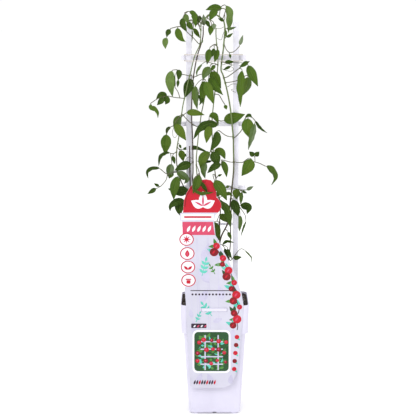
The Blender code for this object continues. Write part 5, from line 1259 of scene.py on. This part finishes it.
def sprig(column, row, length, degrees, colour, pairs):
    """A straight twig with leaves in pairs and one at its tip, as shapes to print."""
    across = math.sin(math.radians(degrees)) * length
    down = -math.cos(math.radians(degrees)) * length
    tip = (column + across, row + down)
    drawn = [(line([(column, row), tip], TWIG_LINE), 2, colour)]
    for pair in range(pairs):
        share = (pair + 0.8) / (pairs + 0.6)
        at = (column + across * share, row + down * share)
        for side in (-52, 52):
            drawn.append((leaf_shape(*at, length * 0.36, length * 0.17, degrees + side), 3, colour))
    return [*drawn, (leaf_shape(*tip, length * 0.34, length * 0.17, degrees), 3, colour)]


shapes = [(leaf_shape(*ground_leaf), 0, LILAC) for ground_leaf in GROUND_LEAVES]
shapes += [(line(list(zip(columns, GROUND_LINE_ROWS)), HAIR_LINE), 1, LILAC) for columns in GROUND_LINES]
for values in SPRIGS:
    shapes += sprig(*values)
shapes.append((bar(*PLAIN_BAR), 2, PLUM))
shapes += [(oval(*place, 1.05, 1.0, 16), 2, PLUM) for place in DOTS]
print_group("label_ground_print", shapes)

RIGHT_EDGE = (
    (215.4, 235), (220, 243.5), (224, 252), (228.5, 260), (234.5, 272), (237.5, 279), (239, 286),
    (241.5, 293), (243.5, 305), (242.6, 320), (240, 345), (238, 368),
)
TWIG_ROWS = range(243, 333, 3)
BERRY_ROWS = [246 + 6.1 * number for number in range(14)]
SMALL_BERRY_ROWS = [337 + 8 * number for number in range(5)]
LAST_EDGE_ROW = 367


def edge_at(row):
    """The card's right edge at this row."""
    for (left, top), (right, bottom) in zip(RIGHT_EDGE, RIGHT_EDGE[1:]):
        if top <= row <= bottom:
            return left + (right - left) * (row - top) / (bottom - top)
    return RIGHT_EDGE[0][0]


twig = [(edge_at(row) - 5.2 + 1.1 * math.sin(row * 0.35), row) for row in TWIG_ROWS]
shapes = [(line(twig, FINE_LINE), 1, PLUM)]
for number, row in enumerate(BERRY_ROWS):
    size = 3.5 + 0.9 * math.sin(number * 1.7)
    column = edge_at(row) - size - 1.2 - 4.4 * (number % 2)
    leafy = (GREEN, MINT, DARK_GREEN)[number % 3]
    for degrees in (-95 + 30 * (number % 3), -20 + 25 * (number % 2)):
        shapes.append((leaf_shape(column, row, 8.2, 3.4, degrees), 0, leafy))
    shapes.append((oval(column, row, size, size * 0.95, 24), 2 + number % 2, (RED, DARK_RED)[number % 2]))
    glint = leaf_shape(column - size * 0.4, row + size * 0.4, size * 1.1, size * 0.42, 38)
    shapes.append((glint, 4, (PINK, RED)[number % 2]))
for number, row in enumerate(SMALL_BERRY_ROWS):
    column = edge_at(min(row, LAST_EDGE_ROW)) - 3.9
    shapes.append((leaf_shape(column, row, 4.6, 2.2, 140), 1, MINT))
    shapes.append((oval(column, row, 2.3, 2.2, 16), 2, (RED, DARK_RED)[number % 2]))
print_group("label_border_print", shapes)

PICTURE_FRAME = (192.5, 330, 230.5, 373, 5)
PICTURE_GROUND = (194.3, 331.9, 228.7, 371.1, 3.8)
LEAFY_COLUMNS = (197.5, 225.5)
LEAFY_ROWS = (337, 369)
RAIL_COLUMNS = (204.5, 217.5)
RAIL_ROWS = (335, 370)
RUNG_COLUMNS = (200.5, 223)
RUNG_ROWS = [341 + 7.5 * rung for rung in range(4)]
BLOOMS = [(198.5 + 6.6 * (step % 5), 340.5 + 11 * (step // 5)) for step in range(15)]

shapes = [(bar(*PICTURE_FRAME), 1, WHITE), (bar(*PICTURE_GROUND), 2, DARK_GREEN)]
rng = random.Random(21)
for step in range(110):
    place = (rng.uniform(*LEAFY_COLUMNS), rng.uniform(*LEAFY_ROWS))
    outline = leaf_shape(*place, rng.uniform(3.2, 5.2), 2.4, rng.uniform(-110, 110))
    shapes.append((outline, 3 + step % 2, (GREEN, GREEN, MINT, DARK_GREEN)[step % 4]))
for left in RAIL_COLUMNS:
    shapes.append((bar(left, RAIL_ROWS[0], left + 1.3, RAIL_ROWS[1], 0.4), 5, LILAC))
for top in RUNG_ROWS:
    shapes.append((bar(RUNG_COLUMNS[0], top, RUNG_COLUMNS[1], top + 1.2, 0.4), 6, LILAC))
for step, (left, top) in enumerate(BLOOMS):
    column = left + rng.uniform(-1.6, 1.6)
    row = top + rng.uniform(-3, 3)
    size = rng.uniform(1.6, 2.6)
    shapes.append((oval(column, row, size, size * 0.92, 18), 7, (RED, DARK_RED)[step % 3 == 2]))
    shapes.append((oval(column - 0.3, row - 0.3, size * 0.42, size * 0.4, 12), 8, PINK))
print_group("label_picture_print", shapes)

FOOT_LEAVES = [(194 + 2.5 * step, 384.5) for step in range(9)]
CORNER_BAR = (191.2, 323.5, 206.5, 328.0, 0.8)
CORNER_LEAVES = [(193.6 + 3.6 * step, 327.2) for step in range(4)]

shapes = []
for step, place in enumerate(FOOT_LEAVES):
    shapes.append((leaf_shape(*place, 5, 1.9, 18), 1, (PLUM, RED)[step % 3 == 2]))
shapes.append((bar(*CORNER_BAR), 4, PLUM))
for step, place in enumerate(CORNER_LEAVES):
    shapes.append((leaf_shape(*place, 3.2, 1.5, 42), 5, (WHITE, PINK)[step % 2]))
print_group("label_foot_print", shapes)
